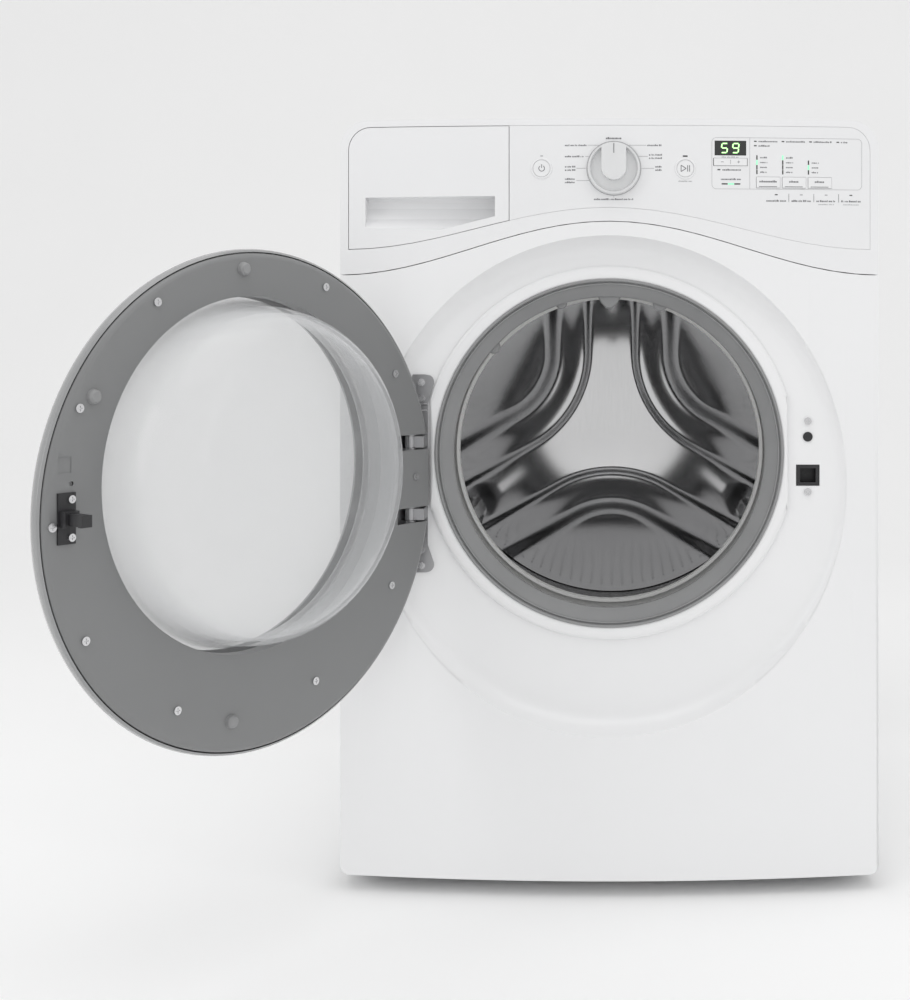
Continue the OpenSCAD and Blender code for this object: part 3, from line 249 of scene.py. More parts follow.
hinge_steel = metal("hinge_steel_finish", (0.40, 0.40, 0.41), 0.38, (300, 300, 120), streak=0.3)
screw_steel = metal("screw_finish", (0.70, 0.70, 0.71), 0.25, (300, 300, 300), streak=0.1)
bright_steel = metal("machined_steel_finish", (0.66, 0.66, 0.67), 0.25, (60, 900, 60))
cast_aluminium = metal("cast_aluminium_finish", (0.68, 0.69, 0.70), 0.5, (160, 160, 160), depth=0.0001)
drum_steel = metal("drum_steel_finish", (0.70, 0.70, 0.705), 0.13, (1400, 30, 30), streak=0.05,
                   depth=0.000004)
# The shell is the drum's own steel at about half the brightness of the back: painted shade inside the drum.
shaded_shell_steel = metal("drum_shell_shaded_steel", (0.36, 0.36, 0.365), 0.22, (30, 1400, 30), streak=0.08,
                    depth=0.000006)

# %% [markdown]
# Galvanised sheet shows spangle: flat crystals a few millimetres across, each a slightly
# different grey. A Voronoi pattern gives every cell its own tone.

# %% Galvanised sheet and concrete
spangle = Finish("galvanised_finish")
crystal = spangle.node("ShaderNodeTexVoronoi", {}, {"Vector": spangle.place, "Scale": 160.0})
grey = Num(spangle, spangle.node("ShaderNodeSeparateColor", {}, {0: crystal.outputs["Color"]}).outputs[0])
galvanised = spangle.set(Base_Color=spangle.tones(grey, (0.50, 0.51, 0.52), (0.66, 0.67, 0.68)),
                         Metallic=0.85, Roughness=0.34 + grey * 0.16,
                         Normal=spangle.bump(grey, 0.00003, 0.5)).material

stone = Finish("concrete_finish")
pits = stone.noise(220.0, 6.0)
sand = stone.noise(35.0, 5.0)
concrete = stone.set(Base_Color=stone.tones(sand, (0.30, 0.29, 0.28), (0.50, 0.49, 0.47)),
                     Roughness=0.85 + pits * 0.1, Normal=stone.bump(pits + sand, 0.0006, 0.6)).material

# %% [markdown]
# ## Rubber
# Moulded grey rubber is matt with a fine skin, and a little talc leaves it lighter in places.

# %% Rubber
def rubber(name, dark, light, rough=0.55):
    f = Finish(name)
    dust = f.noise(14.0, 5.0)
    skin = f.noise(900.0, 2.0)
    return f.set(Base_Color=f.tones(dust, dark, light), Roughness=rough + dust * 0.15,
                 Normal=f.bump(skin + dust, 0.00006, 0.4)).material


grey_rubber = rubber("grey_rubber_finish", (0.25, 0.252, 0.255), (0.33, 0.332, 0.335))
black_rubber = rubber("black_rubber_finish", (0.016, 0.016, 0.017), (0.05, 0.05, 0.052), 0.6)

board = Finish("circuit_board_finish")
tracks = board.num("ShaderNodeTexBrick", {"offset": 0.35}, {"Vector": board.stretched((90, 90, 90)),
                   "Mortar Size": 0.03}, out=1)
circuit_board = board.set(Base_Color=board.tones(tracks, (0.02, 0.12, 0.05), (0.05, 0.24, 0.10)),
                          Roughness=0.4 + tracks * 0.2, Coat_Weight=0.3).material

# %% [markdown]
# ## Glass
# The bowl is thick clear glass: nearly nothing is seen of it face on, and it turns milky and
# mirror-like where it is seen at a slant. So its opacity follows the slant of the surface.

# %% Glass
def clear(name, tone, least, most, rough, power=2.2):
    """Glass whose opacity grows with the slant it is seen at."""
    f = Finish(name)
    slant = f.num("ShaderNodeLayerWeight", {}, {"Blend": 0.35}, out=1)
    smear = f.noise(6.0, 3.0)
    return f.set(Base_Color=f.tones(smear, shade(tone, 0.96), tone),
                 Roughness=rough + smear * 0.02, IOR=1.5, Coat_Weight=0.6, Coat_Roughness=0.02,
                 Alpha=(least + slant ** power * most).clamp()).material


bowl_glass = clear("bowl_glass_finish", (0.70, 0.71, 0.72), 0.08, 0.85, 0.03, 1.7)
window_plastic = clear("door_window_finish", (0.72, 0.73, 0.74), 0.20, 0.5, 0.06)


def ink(name, tone, glow=0.0):
    """Flat print, or a lamp when it glows."""
    f = Finish(name)
    press = f.noise(1500.0, 2.0)
    f.set(Base_Color=f.tones(press, shade(tone, 0.9), shade(tone, 1.1)), Roughness=0.45 + press * 0.1)
    if glow:
        f.set(Emission_Color=tone, Emission_Strength=glow)
    return f.material


grey_ink = ink("grey_ink", (0.17, 0.17, 0.18))
pale_ink = ink("pale_ink", (0.42, 0.42, 0.43))
dark_ink = ink("dark_ink", (0.03, 0.03, 0.03))
green_light = ink("green_light", (0.25, 0.85, 0.45), 0.6)
digit_light = ink("digit_light", (0.45, 1.0, 0.35), 1.6)
print("finishes:", len(bpy.data.materials))

# %% [markdown]
# ## Finishes for the CAD parts
# The record says which finish slot each CAD part has, so one table from slot to material
# dresses them all.

# %% Dressing the CAD parts
by_slot = {
    "white_enamel": enamel, "galvanised_steel": galvanised, "white_plastic": white_plastic,
    "fascia_plastic": fascia_print, "display_glass": display_black, "circuit_board": circuit_board,
    "inner_plastic": satin_plastic, "hinge_steel": hinge_steel, "screw_steel": screw_steel,
    "black_plastic": black_plastic, "grey_rubber": grey_rubber, "valve_plastic": valve_plastic,
    "black_rubber": black_rubber, "pump_plastic": pump_plastic, "spring_steel": coil_paint,
    "concrete": concrete, "motor_aluminium": cast_aluminium, "heater_steel": bright_steel,
    "bearing_steel": bright_steel, "drum_steel": drum_steel, "knob_plastic": knob_plastic,
    "door_rim": rim_plastic, "window_plastic": window_plastic, "liner_plastic": liner_plastic,
    "bowl_glass": bowl_glass,
}
slot_of = {part["node"]: part["material_slot"] for part in frame["record"]["subparts"]}
body_of = {name: body for body, names in frame["record"]["behaviour"]["bodies"].items() for name in names}
for name, part in nodes.items():
    finish = by_slot[slot_of[name]]
    for place in range(len(part.material_slots)):
        part.material_slots[place].material = finish
    if not part.material_slots:
        part.data.materials.append(finish)
print("dressed", len(slot_of), "CAD parts in", len(by_slot), "finishes")


# %% [markdown]
# ## Making pieces
# Most of the added pieces are either turned about a line along the depth, like the glass, or
# laid on the bowed front, like the print. Two helpers make those two kinds of mesh.

# %% Mesh helpers
def piece(name, points, faces, finish, body, slot=None, sharp=40, closed=False):
    """Mesh object riding on a CAD body, smooth except across sharp edges."""
    mesh = bpy.data.meshes.new(name)
    mesh.from_pydata([tuple(p) for p in points], [], faces)
    mesh.validate()
    mesh.materials.append(finish)
    mesh.shade_smooth()
    mesh.set_sharp_from_angle(angle=math.radians(sharp))
    made = bpy.data.objects.new(name, mesh)
    bpy.context.scene.collection.objects.link(made)
    if closed:
        outwards(made)
    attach(made, body)
    return made


def outwards(made):
    """Closes the seams of a mesh and turns its faces outwards."""
    work = bmesh.new()
    work.from_mesh(made.data)
    bmesh.ops.remove_doubles(work, verts=work.verts, dist=1e-6)
    bmesh.ops.recalc_face_normals(work, faces=work.faces)
    work.to_mesh(made.data)
    work.free()


def softened(node, angle=30):
    """Copy of a CAD part shaded round its curves, put in the part's place."""
    work = bmesh.new()
    work.from_mesh(nodes[node].data)
    bmesh.ops.transform(work, matrix=nodes[node].matrix_world, verts=work.verts)
    bmesh.ops.remove_doubles(work, verts=work.verts, dist=1e-5)
    mesh = bpy.data.meshes.new(node + "_soft")
    work.to_mesh(mesh)
    work.free()
    mesh.materials.clear()
    mesh.materials.append(by_slot[slot_of[node]])
    mesh.shade_smooth()
    mesh.set_sharp_from_angle(angle=math.radians(angle))
    rough = bpy.data.objects.new(node + "_rough", mesh)
    bpy.context.scene.collection.objects.link(rough)
    weighted = rough.modifiers.new("weighted", "WEIGHTED_NORMAL")
    weighted.keep_sharp = True
    graph = bpy.context.evaluated_depsgraph_get()
    final = bpy.data.meshes.new_from_object(rough.evaluated_get(graph), depsgraph=graph)
    bpy.data.objects.remove(rough)
    made = bpy.data.objects.new(node + "_shaded", final)
    bpy.context.scene.collection.objects.link(made)
    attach(made, body_of[node])
    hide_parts(node)
    return made


def smoothed(profile, rounds=2):
    """Closed profile with its corners cut again and again, so that it turns softly."""
    for _ in range(rounds):
        cut = []
        count = len(profile)
        for i in range(count):
            (r0, y0), (r1, y1) = profile[i], profile[(i + 1) % count]
            if r0 == 0 and r1 == 0:
                cut += [(r0, y0), (r1, y1)]
                continue
            a = (r0, y0) if r0 == 0 else (r0 * 0.78 + r1 * 0.22, y0 * 0.78 + y1 * 0.22)
            b = (r1, y1) if r1 == 0 else (r0 * 0.22 + r1 * 0.78, y0 * 0.22 + y1 * 0.78)
            cut += [a, b]
        profile = cut
    return profile


def turned(name, profile, centre_z, finish, body, slot=None, facets=192, centre_x=0.0,
           place=None, sharp=40, base_y=None):
    """Closed (radius, y) profile turned about a line along Y."""
    base_y = front_y if base_y is None else base_y
    points, faces = [], []
    count = len(profile)
    for step in range(facets):
        turn = 2 * math.pi * step / facets
        for radius, y in profile:
            spot = Vector((centre_x + radius * math.cos(turn), base_y + y,
                           centre_z + radius * math.sin(turn)))
            points.append(place @ spot if place else spot)
    for step in range(facets):
        here, after = step * count, (step + 1) % facets * count
        for i in range(count):
            j = (i + 1) % count
            if profile[i][0] == 0 and profile[j][0] == 0:
                continue
            faces.append((here + i, here + j, after + j, after + i))
    return piece(name, points, faces, finish, body, slot, sharp, closed=True)


# %% [markdown]
# ## Soft shading for the big mouldings
# The CAD facets are kept, but their shading is rounded: corners gentler than thirty degrees
# read as one curve, as they do on pressed steel and moulded plastic.

# %% Soft copies
soft_parts = ["front_panel", "door_frame", "door_liner"]
for node in soft_parts:
    softened(node)
print("softened", len(soft_parts), "parts")

# %% [markdown]
# ## The drum
# The back of the drum is one pressed and polished disc. Three rounded fields are pressed
# backwards out of it, and what stays is a three-armed star. The wall of each field goes down
# in two soft steps, which the eye reads as two dark bands, because a tilted mirror shows the
# dark side of the drum instead of the bright mouth. A height rule on a polar grid makes it.

# %% Drum back
def soft_step(value):
    """Rises smoothly from 0 to 1."""
    value = max(0.0, min(1.0, value))
    return value * value * (3 - 2 * value)


rings, spokes = 110, 360
edge_gap, field_gap = 2.2 * mm, 1.2 * mm
drum_low, drum_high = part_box("drum")
drum_radius = (drum_high.x - drum_low.x) / 2
back_y = drum_high.y
plateau_depth, dome_height = 16 * mm, 15 * mm
arm_half, corner_radius = 33 * mm, 174 * mm
corner_far = (arm_half + corner_radius) / math.sin(math.radians(60))
# start and width of each step, measured inwards from the edge of a field, and its share of depth
steps = ((-3, 15, 0.27), (12, 34, 0.16), (46, 30, 0.47), (76, 70, 0.10))


def field_inward(x, z, turn):
    """Distance from a field's rounded wedge edge, counted inwards."""
    ax, az = math.cos(math.radians(turn)), math.sin(math.radians(turn))
    along, across = x * ax + z * az - corner_far, abs(z * ax - x * az)
    if along < 0 and across < -along * math.tan(math.radians(30)):
        return corner_radius - math.hypot(along, across)
    return corner_radius - (-along * math.cos(math.radians(30)) + across * math.sin(math.radians(30)))


def back_depth(x, z):
    """Share of the full depth that the disc is pressed back at a point."""
    inward = max(field_inward(x, z, turn) for turn in (30, 150, 270))
    return sum(share * soft_step((inward - start * mm) / (width * mm)) for start, width, share in steps)


def drum_disc():
    """Points and faces of the pressed disc, on a polar grid."""
    points, faces = [(0, back_y - plateau_depth - dome_height, axis_z)], []
    for ring in range(1, rings + 1):
        radius = (drum_radius - edge_gap) * ring / rings
        for spoke in range(spokes):
            turn = 2 * math.pi * spoke / spokes
            x, z = radius * math.cos(turn), radius * math.sin(turn)
            dome = dome_height * (1 - (radius / drum_radius) ** 2)
            y = back_y - plateau_depth - dome + (plateau_depth - field_gap) * back_depth(x, z)
            points.append((x, y, axis_z + z))
    for spoke in range(spokes):
        after = (spoke + 1) % spokes
        faces.append((0, 1 + after, 1 + spoke))
        for ring in range(rings - 1):
            a, b = 1 + ring * spokes, 1 + (ring + 1) * spokes
            faces.append((a + spoke, a + after, b + after, b + spoke))
    return points, [face[::-1] for face in faces]


drum_back = piece("drum_back", *drum_disc(), drum_steel, "drum", "drum_steel", sharp=80)
wall = 1.0 * mm
drum_length = back_y - drum_low.y
mouth = drum_radius - 64 * mm
shell_profile = [(mouth, 8 * mm), (mouth, 1 * mm), (mouth + 2 * mm, 0), (drum_radius - 18 * mm, 0),
                 (drum_radius - 5 * mm, 5 * mm), (drum_radius, 18 * mm), (drum_radius, drum_length),
                 (drum_radius - wall, drum_length), (drum_radius - wall, 18 * mm),
                 (drum_radius - 6 * mm, 6 * mm), (drum_radius - 18 * mm, wall),
                 (mouth + 2 * mm, wall), (mouth + wall, 8 * mm)]
drum_shell = turned("drum_shell", shell_profile, axis_z, shaded_shell_steel, "drum", "drum_steel",
                    base_y=drum_low.y, facets=256)
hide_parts("drum")
print("drum back", len(drum_back.data.polygons), "faces")

# %% [markdown]
# ## Punched holes, drawn as painted shade
# The shell is punched all over with small round holes. They repeat by rule, so Geometry Nodes
# lay them: a grid is rolled round the axis, a flat near-black disc is set on each point facing
# inwards as painted shade for the dark seen through a hole, and every disc becomes real mesh at the end.

# %% Geometry Nodes helper
class Tree:
    """A Geometry Nodes tree with named inputs."""

    def __init__(self, name, inputs):
        self.group = bpy.data.node_groups.new(name, "GeometryNodeTree")
        self.group.interface.new_socket("Geometry", in_out="OUTPUT", socket_type="NodeSocketGeometry")
        for label, kind in inputs.items():
            self.group.interface.new_socket(label, in_out="INPUT", socket_type="NodeSocket" + kind)
        self.inputs = self.group.nodes.new("NodeGroupInput")
        self.end = self.group.nodes.new("NodeGroupOutput")

    def node(self, kind, settings=None, sockets=None):
        made = self.group.nodes.new(kind)
        for key, value in (settings or {}).items():
            setattr(made, key, value)
        for key, value in (sockets or {}).items():
            if isinstance(value, bpy.types.NodeSocket):
                self.group.links.new(value, made.inputs[key])
            else:
                made.inputs[key].default_value = value
        return made

    def given(self, label):
        return self.inputs.outputs[label]

    def maths(self, operation, a, b=0.0):
        return self.node("ShaderNodeMath", {"operation": operation}, {0: a, 1: b}).outputs[0]

    def finish(self, geometry, material):
        whole = self.node("GeometryNodeRealizeInstances", {}, {0: geometry})
        painted = self.node("GeometryNodeSetMaterial", {}, {0: whole.outputs[0], "Material": material})
        self.group.links.new(painted.outputs[0], self.end.inputs[0])

    def grow(self, name, values, body, slot=None, place=None):
        """Runs the tree with these input values and returns the plain mesh it makes."""
        holder = bpy.data.objects.new(name + "_holder", bpy.data.meshes.new(name + "_holder"))
        bpy.context.scene.collection.objects.link(holder)
        modifier = holder.modifiers.new("grow", "NODES")
        modifier.node_group = self.group
        for item in self.group.interface.items_tree:
            if item.in_out == "INPUT" and item.name in values:
                modifier[item.identifier] = values[item.name]
        graph = bpy.context.evaluated_depsgraph_get()
        mesh = bpy.data.meshes.new_from_object(holder.evaluated_get(graph), depsgraph=graph)
        bpy.data.objects.remove(holder)
        if place:
            mesh.transform(place)
        mesh.shade_smooth()
        mesh.set_sharp_from_angle(angle=math.radians(40))
        made = bpy.data.objects.new(name, mesh)
        bpy.context.scene.collection.objects.link(made)
        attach(made, body)
        print(name, len(mesh.polygons), "faces")
        return made


# %% Drum holes
# The holes are not cut: each is a flat near-black disc, painted shade for the dark seen through a hole.
punched = Finish("painted_hole_shade")
speck = punched.noise(900.0, 1.0)
hole_shade_paint = punched.set(Base_Color=punched.tones(speck, (0.012, 0.012, 0.013), (0.04, 0.04, 0.042)),
                        Roughness=0.5 + speck * 0.2).material


def holes_tree():
    """Grid of flat near-black discs, painted shade for the holes, rolled round the drum's axis."""
    t = Tree("drum_holes", {"Columns": "Int", "Rows": "Int", "Radius": "Float", "Length": "Float",
                            "Hole Radius": "Float"})
    grid = t.node("GeometryNodeMeshGrid", {}, {"Size X": 2 * math.pi, "Size Y": t.given("Length"),
                                               "Vertices X": t.given("Columns"),
                                               "Vertices Y": t.given("Rows")})
    flat = t.node("ShaderNodeSeparateXYZ", {}, {0: t.node("GeometryNodeInputPosition").outputs[0]})
    turn, along = flat.outputs[0], flat.outputs[1]
    side, up = t.maths("COSINE", turn), t.maths("SINE", turn)
    rolled = t.node("ShaderNodeCombineXYZ", {}, {0: t.maths("MULTIPLY", side, t.given("Radius")), 1: along,
                                                 2: t.maths("MULTIPLY", up, t.given("Radius"))})
    points = t.node("GeometryNodeSetPosition", {}, {"Geometry": grid.outputs[0],
                                                    "Position": rolled.outputs[0]})
    inward = t.node("ShaderNodeVectorMath", {"operation": "MULTIPLY"},
                    {0: t.node("GeometryNodeInputPosition").outputs[0], 1: (-1.0, 0.0, -1.0)})
    facing = t.node("FunctionNodeAlignEulerToVector", {"axis": "Z"}, {"Vector": inward.outputs[0]})
    disc = t.node("GeometryNodeMeshCircle", {"fill_type": "NGON"}, {"Vertices": 8,
                                                                    "Radius": t.given("Hole Radius")})
    placed = t.node("GeometryNodeInstanceOnPoints", {}, {"Points": points.outputs[0],
                                                         "Instance": disc.outputs[0],
                                                         "Rotation": facing.outputs[0]})
    t.finish(placed.outputs[0], hole_shade_paint)
    return t


drum_holes = holes_tree().grow(
    "drum_holes", {"Columns": 97, "Rows": 24, "Radius": drum_radius - wall - 0.3 * mm,
                   "Length": drum_length - 90 * mm, "Hole Radius": 1.7 * mm},
    "drum", "drum_steel",
    Matrix.Translation((0, drum_low.y + drum_length / 2 + 8 * mm, axis_z)))


# %% [markdown]
# ## Coils and threads
# A hanging spring and a hose thread are both a wire wound along a helix. One tree sweeps a
# round wire along a spiral, and its inputs make either.

# %% Coils
def coil_tree(name, material):
    """Round wire swept along a spiral."""
    t = Tree(name, {"Turns": "Float", "Coil Radius": "Float", "Height": "Float", "Wire Radius": "Float",
                    "Steps": "Int"})
    spiral = t.node("GeometryNodeCurveSpiral", {}, {
        "Resolution": t.given("Steps"), "Rotations": t.given("Turns"), "Height": t.given("Height"),
        "Start Radius": t.given("Coil Radius"), "End Radius": t.given("Coil Radius")})
    wire = t.node("GeometryNodeCurvePrimitiveCircle", {},
                  {"Resolution": 10, "Radius": t.given("Wire Radius")})
    swept = t.node("GeometryNodeCurveToMesh", {},
                   {"Curve": spiral.outputs[0], "Profile Curve": wire.outputs[0], "Fill Caps": True})
    t.finish(swept.outputs[0], material)
    return t


spring_low, spring_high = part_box("suspension_springs")
spring_wire, spring_radius = 1.7 * mm, 15 * mm
spring_tree = coil_tree("spring_coil", coil_paint)
spring_x = spring_high.x - spring_radius
for side, label in ((-1, "left"), (1, "right")):
    spring_tree.grow(
        "spring_" + label,
        {"Turns": 14.0, "Coil Radius": spring_radius - spring_wire, "Wire Radius": spring_wire,
         "Height": spring_high.z - spring_low.z - 2 * spring_wire, "Steps": 28},
        "cabinet", "spring_steel",
        Matrix.Translation((side * spring_x, middle("suspension_springs").y, spring_low.z + spring_wire)))
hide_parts("suspension_springs")

valve_low, valve_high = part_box("inlet_valves")
spigot_radius, spigot_length, thread_pitch = 13.2 * mm, 9 * mm, 1.8 * mm
thread_tree = coil_tree("hose_thread", valve_plastic)
spigot_z = valve_high.z - 15 * mm
for label, x in (("hot", valve_low.x + 15 * mm), ("cold", valve_high.x - 15 * mm)):
    thread_tree.grow("thread_" + label,
                     {"Turns": spigot_length / thread_pitch, "Coil Radius": spigot_radius,
                      "Height": spigot_length, "Wire Radius": 0.55 * mm, "Steps": 32},
                     "cabinet", "valve_plastic",
                     Matrix.Translation((x, valve_high.y - spigot_length - 1.2 * mm, spigot_z))
                     @ Matrix.Rotation(math.radians(-90), 4, "X"))

# %% [markdown]
# ## The rubber ring
# The ring seals the door and joins the front panel to the tub. It rolls over the steel lip,
# drops back as a smooth cone, and ends in a soft sealing bead. Corner cutting rounds the plain
# profile as moulding does.

# %% Rubber ring
ring_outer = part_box("gasket")[1].x
ring_profile = [
    (0.0, -6.0), (1.2, -6.4), (0.6, -7.6), (-1.6, -7.6), (-2.6, -5.6), (-2.9, -3.4), (-4.2, -3.4),
    (-4.6, -6.2), (-6.0, -6.2), (-7.0, -3.0), (-12.6, 3.2), (-17.5, 8.6), (-21.2, 12.6), (-21.6, 15.4),
    (-21.2, 19.0), (-18.4, 21.4), (-12.0, 24.5), (-16.5, 30.0), (-18.2, 34.0), (-16.4, 38.4),
    (-10.0, 43.5), (-3.4, 50.0), (-3.0, 63.5), (0.0, 63.5)]
rubber_ring = turned("rubber_ring", smoothed([(ring_outer + r * mm, y * mm) for r, y in ring_profile], 2),
                     axis_z, grey_rubber, "cabinet", "grey_rubber", facets=256)
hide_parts("gasket")


def nozzle():
    """Spray nozzle moulded into the top of the ring."""
    outline = [(-16, 1), (-11, -9), (-4, -16), (4, -16), (11, -9), (16, 1), (9, 4), (-9, 4)]
    points, faces = [], []
    for depth, size in ((17, 0.9), (19, 1.0), (34, 1.0), (37, 0.7)):
        points += [(x * size * mm, front_y + depth * mm, axis_z + (ring_outer - 20 * mm) + z * size * mm)
                   for x, z in outline]
    count = len(outline)
    for level in range(3):
        for i in range(count):
            a, b = level * count, (level + 1) * count
            j = (i + 1) % count
            faces.append((a + i, a + j, b + j, b + i))
    faces += [tuple(range(count))[::-1], tuple(range(3 * count, 4 * count))]
    return points, faces


spray_nozzle = piece("spray_nozzle", *nozzle(), grey_rubber, "cabinet", "grey_rubber", closed=True)


def lump(name, x, z, radius, far):
    """Round moulded boss standing on the inside of the ring."""
    profile = [(0, 0), (radius, 0), (radius, far * 0.7), (radius * 0.8, far * 0.9), (0, far)]
    return turned(name, smoothed([(r * mm, y * mm) for r, y in profile], 2), z, grey_rubber, "cabinet",
                  "grey_rubber", facets=40, centre_x=x, base_y=front_y + 20 * mm)


boss_reach = ring_outer - 19 * mm
bosses = (("ring_boss_left", 108, 8), ("ring_boss_right", 71, 10), ("ring_boss_side", 138, 9))
for name, turn, radius in bosses:
    turn = math.radians(turn)
    lump(name, boss_reach * math.cos(turn), axis_z + boss_reach * math.sin(turn), radius, 16)

# %% [markdown]
# ## The glass of the door
# The bowl is pressed from one thick piece of glass: a flange, a slanting wall and a blunt
# nose. Its profile is the CAD one with every corner rounded, because glass has no sharp
# edges. It is turned in the closed place and swung open with the door.

# %% Bowl and window
bowl_radius = (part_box("door_glass")[1].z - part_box("door_glass")[0].z) / 2
bowl_outline = [(0, -50), (0, -45), (-9, -45), (-13, -26), (-16, 0), (-21, 20), (-31, 38), (-45, 50),
                (-68, 57), (-116, 61)]
bowl_inside = [(-116, 56), (-69, 52), (-48, 45.5), (-35.5, 35.5), (-26, 19), (-21, -1), (-18, -28),
               (-14, -50)]
bowl_profile = ([(bowl_radius + r * mm, y * mm) for r, y in bowl_outline]
                + [(0.0, 62 * mm), (0.0, 57 * mm)]
                + [(bowl_radius + r * mm, y * mm) for r, y in bowl_inside])
window_shift = 12 * mm
glass_bowl = turned("glass_bowl", smoothed(bowl_profile, 3), window_z, bowl_glass, "door", "bowl_glass",
                    facets=224, place=swing, sharp=60, centre_x=window_shift)
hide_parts("door_glass")
print("bowl", len(glass_bowl.data.polygons), "faces")

# %% [markdown]
# ## Print, lamps and digits on the console
# The print is thin flat shapes laid on the bowed front a fraction of a millimetre proud.
# Words are left out: short rows of strokes stand where captions are printed, and the display
# shows two plain digits. Each shape follows the bow, because its corners are placed on it.

# %% Print helpers
class Print:
    """Flat marks on the bowed front, gathered into one mesh."""

    def __init__(self, lift=0.12 * mm):
        self.points, self.faces, self.lift = [], [], lift

    def shape(self, corners):
        first = len(self.points)
        self.points += [on_front(x, z, self.lift) for x, z in corners]
        self.faces.append(tuple(range(first, len(self.points))))

    def bar(self, x0, z0, x1, z1):
        pieces = max(1, int(abs(x1 - x0) / (12 * mm)))
        for i in range(pieces):
            a, b = x0 + (x1 - x0) * i / pieces, x0 + (x1 - x0) * (i + 1) / pieces
            self.shape([(a, z0), (b, z0), (b, z1), (a, z1)])

    def caption(self, x, z, length, height=2.0 * mm, anchor=0.0, seed=0):
        """Row of strokes in the place of a few printed words."""
        x -= length * anchor
        end, place, stroke = x + length, x, seed
        while place < end - 0.7 * mm:
            stroke = (stroke * 37 + 11) % 101
            wide = (0.8 + 0.5 * (stroke % 3)) * mm
            tall = height * (0.72 if stroke % 4 else 1.0)
            self.bar(place, z - height / 2, min(place + wide, end), z - height / 2 + tall)
            place += wide + (1.4 if stroke % 7 == 0 else 0.45) * mm

    def ring(self, x, z, radius, width, start=0, stop=360, steps=48):
        for i in range(steps):
            a, b = (math.radians(start + (stop - start) * (i + k) / steps) for k in (0, 1))
            self.shape([(x + r * math.cos(t), z + r * math.sin(t))
                        for r, t in ((radius, a), (radius, b), (radius - width, b), (radius - width, a))])

    def make(self, name, finish, body="cabinet", slot="fascia_plastic"):
        flat = bpy.data.meshes.new(name + "_sides")
        flat.from_pydata([tuple(p) for p in self.points], [], self.faces)
        flat.update()
        self.faces = [face if flat.polygons[i].normal.y < 0 else face[::-1]
                      for i, face in enumerate(self.faces)]
        bpy.data.meshes.remove(flat)
        return piece(name, self.points, self.faces, finish, body, slot)


knob_at, window_at, rocker_at = middle("knob"), middle("display_window"), middle("time_rocker")
power_at, start_at = middle("power_button"), middle("start_button")
keys_at = [middle(n) for n in ("temp_button", "spin_button", "soil_button")]
key_low, key_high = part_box("soil_button")
key_half = (key_high.z - key_low.z) / 2 - 1 * mm
knob_radius = (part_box("knob")[1].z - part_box("knob")[0].z) / 2

# %% Programme captions round the knob
grey, pale, dark = Print(), Print(), Print()
caption_rows = ((29, 27, 0), (15, 24, 0), (0, 13, 1), (-15.5, 13, 1))   # height, length, two lines
for side in (-1, 1):
    for row, (up, length, lines) in enumerate(caption_rows[:3 if side > 0 else 4]):
        z = knob_at.z + up * mm
        far = knob_at.x + side * 61.5 * mm
        length = length * mm * (1 if side < 0 else 0.72)
        for line in ((2.1, -2.1) if lines or (side > 0 and row == 1) else (0,)):
            grey.caption(far, z + line * mm, length, 2.1 * mm, 0 if side < 0 else 1,
                         seed=row * 7 + side + 3)
        near = math.sqrt(max(0.0, (knob_radius + 0.5 * mm) ** 2 - (z - knob_at.z) ** 2)) + 1 * mm
        lead = 61.5 * mm - length - 1.5 * mm
        pale.bar(knob_at.x + side * near, z - 0.3 * mm, knob_at.x + side * lead, z + 0.3 * mm)
grey.caption(knob_at.x, knob_at.z + knob_radius + 4.4 * mm, 20 * mm, 2.6 * mm, 0.5, seed=5)
grey.caption(knob_at.x, knob_at.z - knob_radius - 5.4 * mm, 50 * mm, 2.2 * mm, 0.5, seed=9)
pale.bar(knob_at.x - 0.3 * mm, knob_at.z - knob_radius - 3.4 * mm, knob_at.x + 0.3 * mm,
         knob_at.z - knob_radius - 0.6 * mm)
pale.ring(knob_at.x, knob_at.z, knob_radius + 0.9 * mm, 0.7 * mm, steps=96)

# %% Display group
panel_left, panel_right = window_at.x - 23.6 * mm, keys_at[2].x + 55 * mm
panel_top, panel_low = window_at.z + 13.4 * mm, keys_at[2].z - key_half - 2 * mm
split_x = window_at.x + 24.6 * mm
frame_line = 0.45 * mm


def outline(target, x0, z0, x1, z1, r, width):
    """Thin round-cornered frame."""
    target.bar(x0 + r, z1 - width, x1 - r, z1)
    target.bar(x0 + r, z0, x1 - r, z0 + width)
    target.bar(x0, z0 + r, x0 + width, z1 - r)
    target.bar(x1 - width, z0 + r, x1, z1 - r)
    for cx, cz, start in ((x1 - r, z1 - r, 0), (x0 + r, z1 - r, 90), (x0 + r, z0 + r, 180),
                          (x1 - r, z0 + r, 270)):
        target.ring(cx, cz, r, width, start, start + 90, 8)


outline(pale, panel_left, panel_low, panel_right, panel_top, 6 * mm, frame_line)
pale.bar(split_x - frame_line / 2, panel_low, split_x + frame_line / 2, panel_top)
green = Print(0.16 * mm)
option_step = keys_at[1].x - keys_at[0].x + 2.3 * mm
for i in range(4):
    x = keys_at[0].x - 16 * mm + i * option_step
    dark.bar(x - 1.7 * mm, window_at.z + 8.1 * mm, x + 1.7 * mm, window_at.z + 9.5 * mm)
    grey.caption(x + 4 * mm, window_at.z + 8.8 * mm, (24 if i < 3 else 9) * mm, 2.0 * mm, seed=i + 21)
dark.bar(keys_at[0].x - 17.7 * mm, window_at.z + 2.5 * mm, keys_at[0].x - 14.3 * mm, window_at.z + 3.9 * mm)
grey.caption(keys_at[0].x - 12 * mm, window_at.z + 3.2 * mm, 14 * mm, 2.0 * mm, seed=31)
level_step = 6.1 * mm
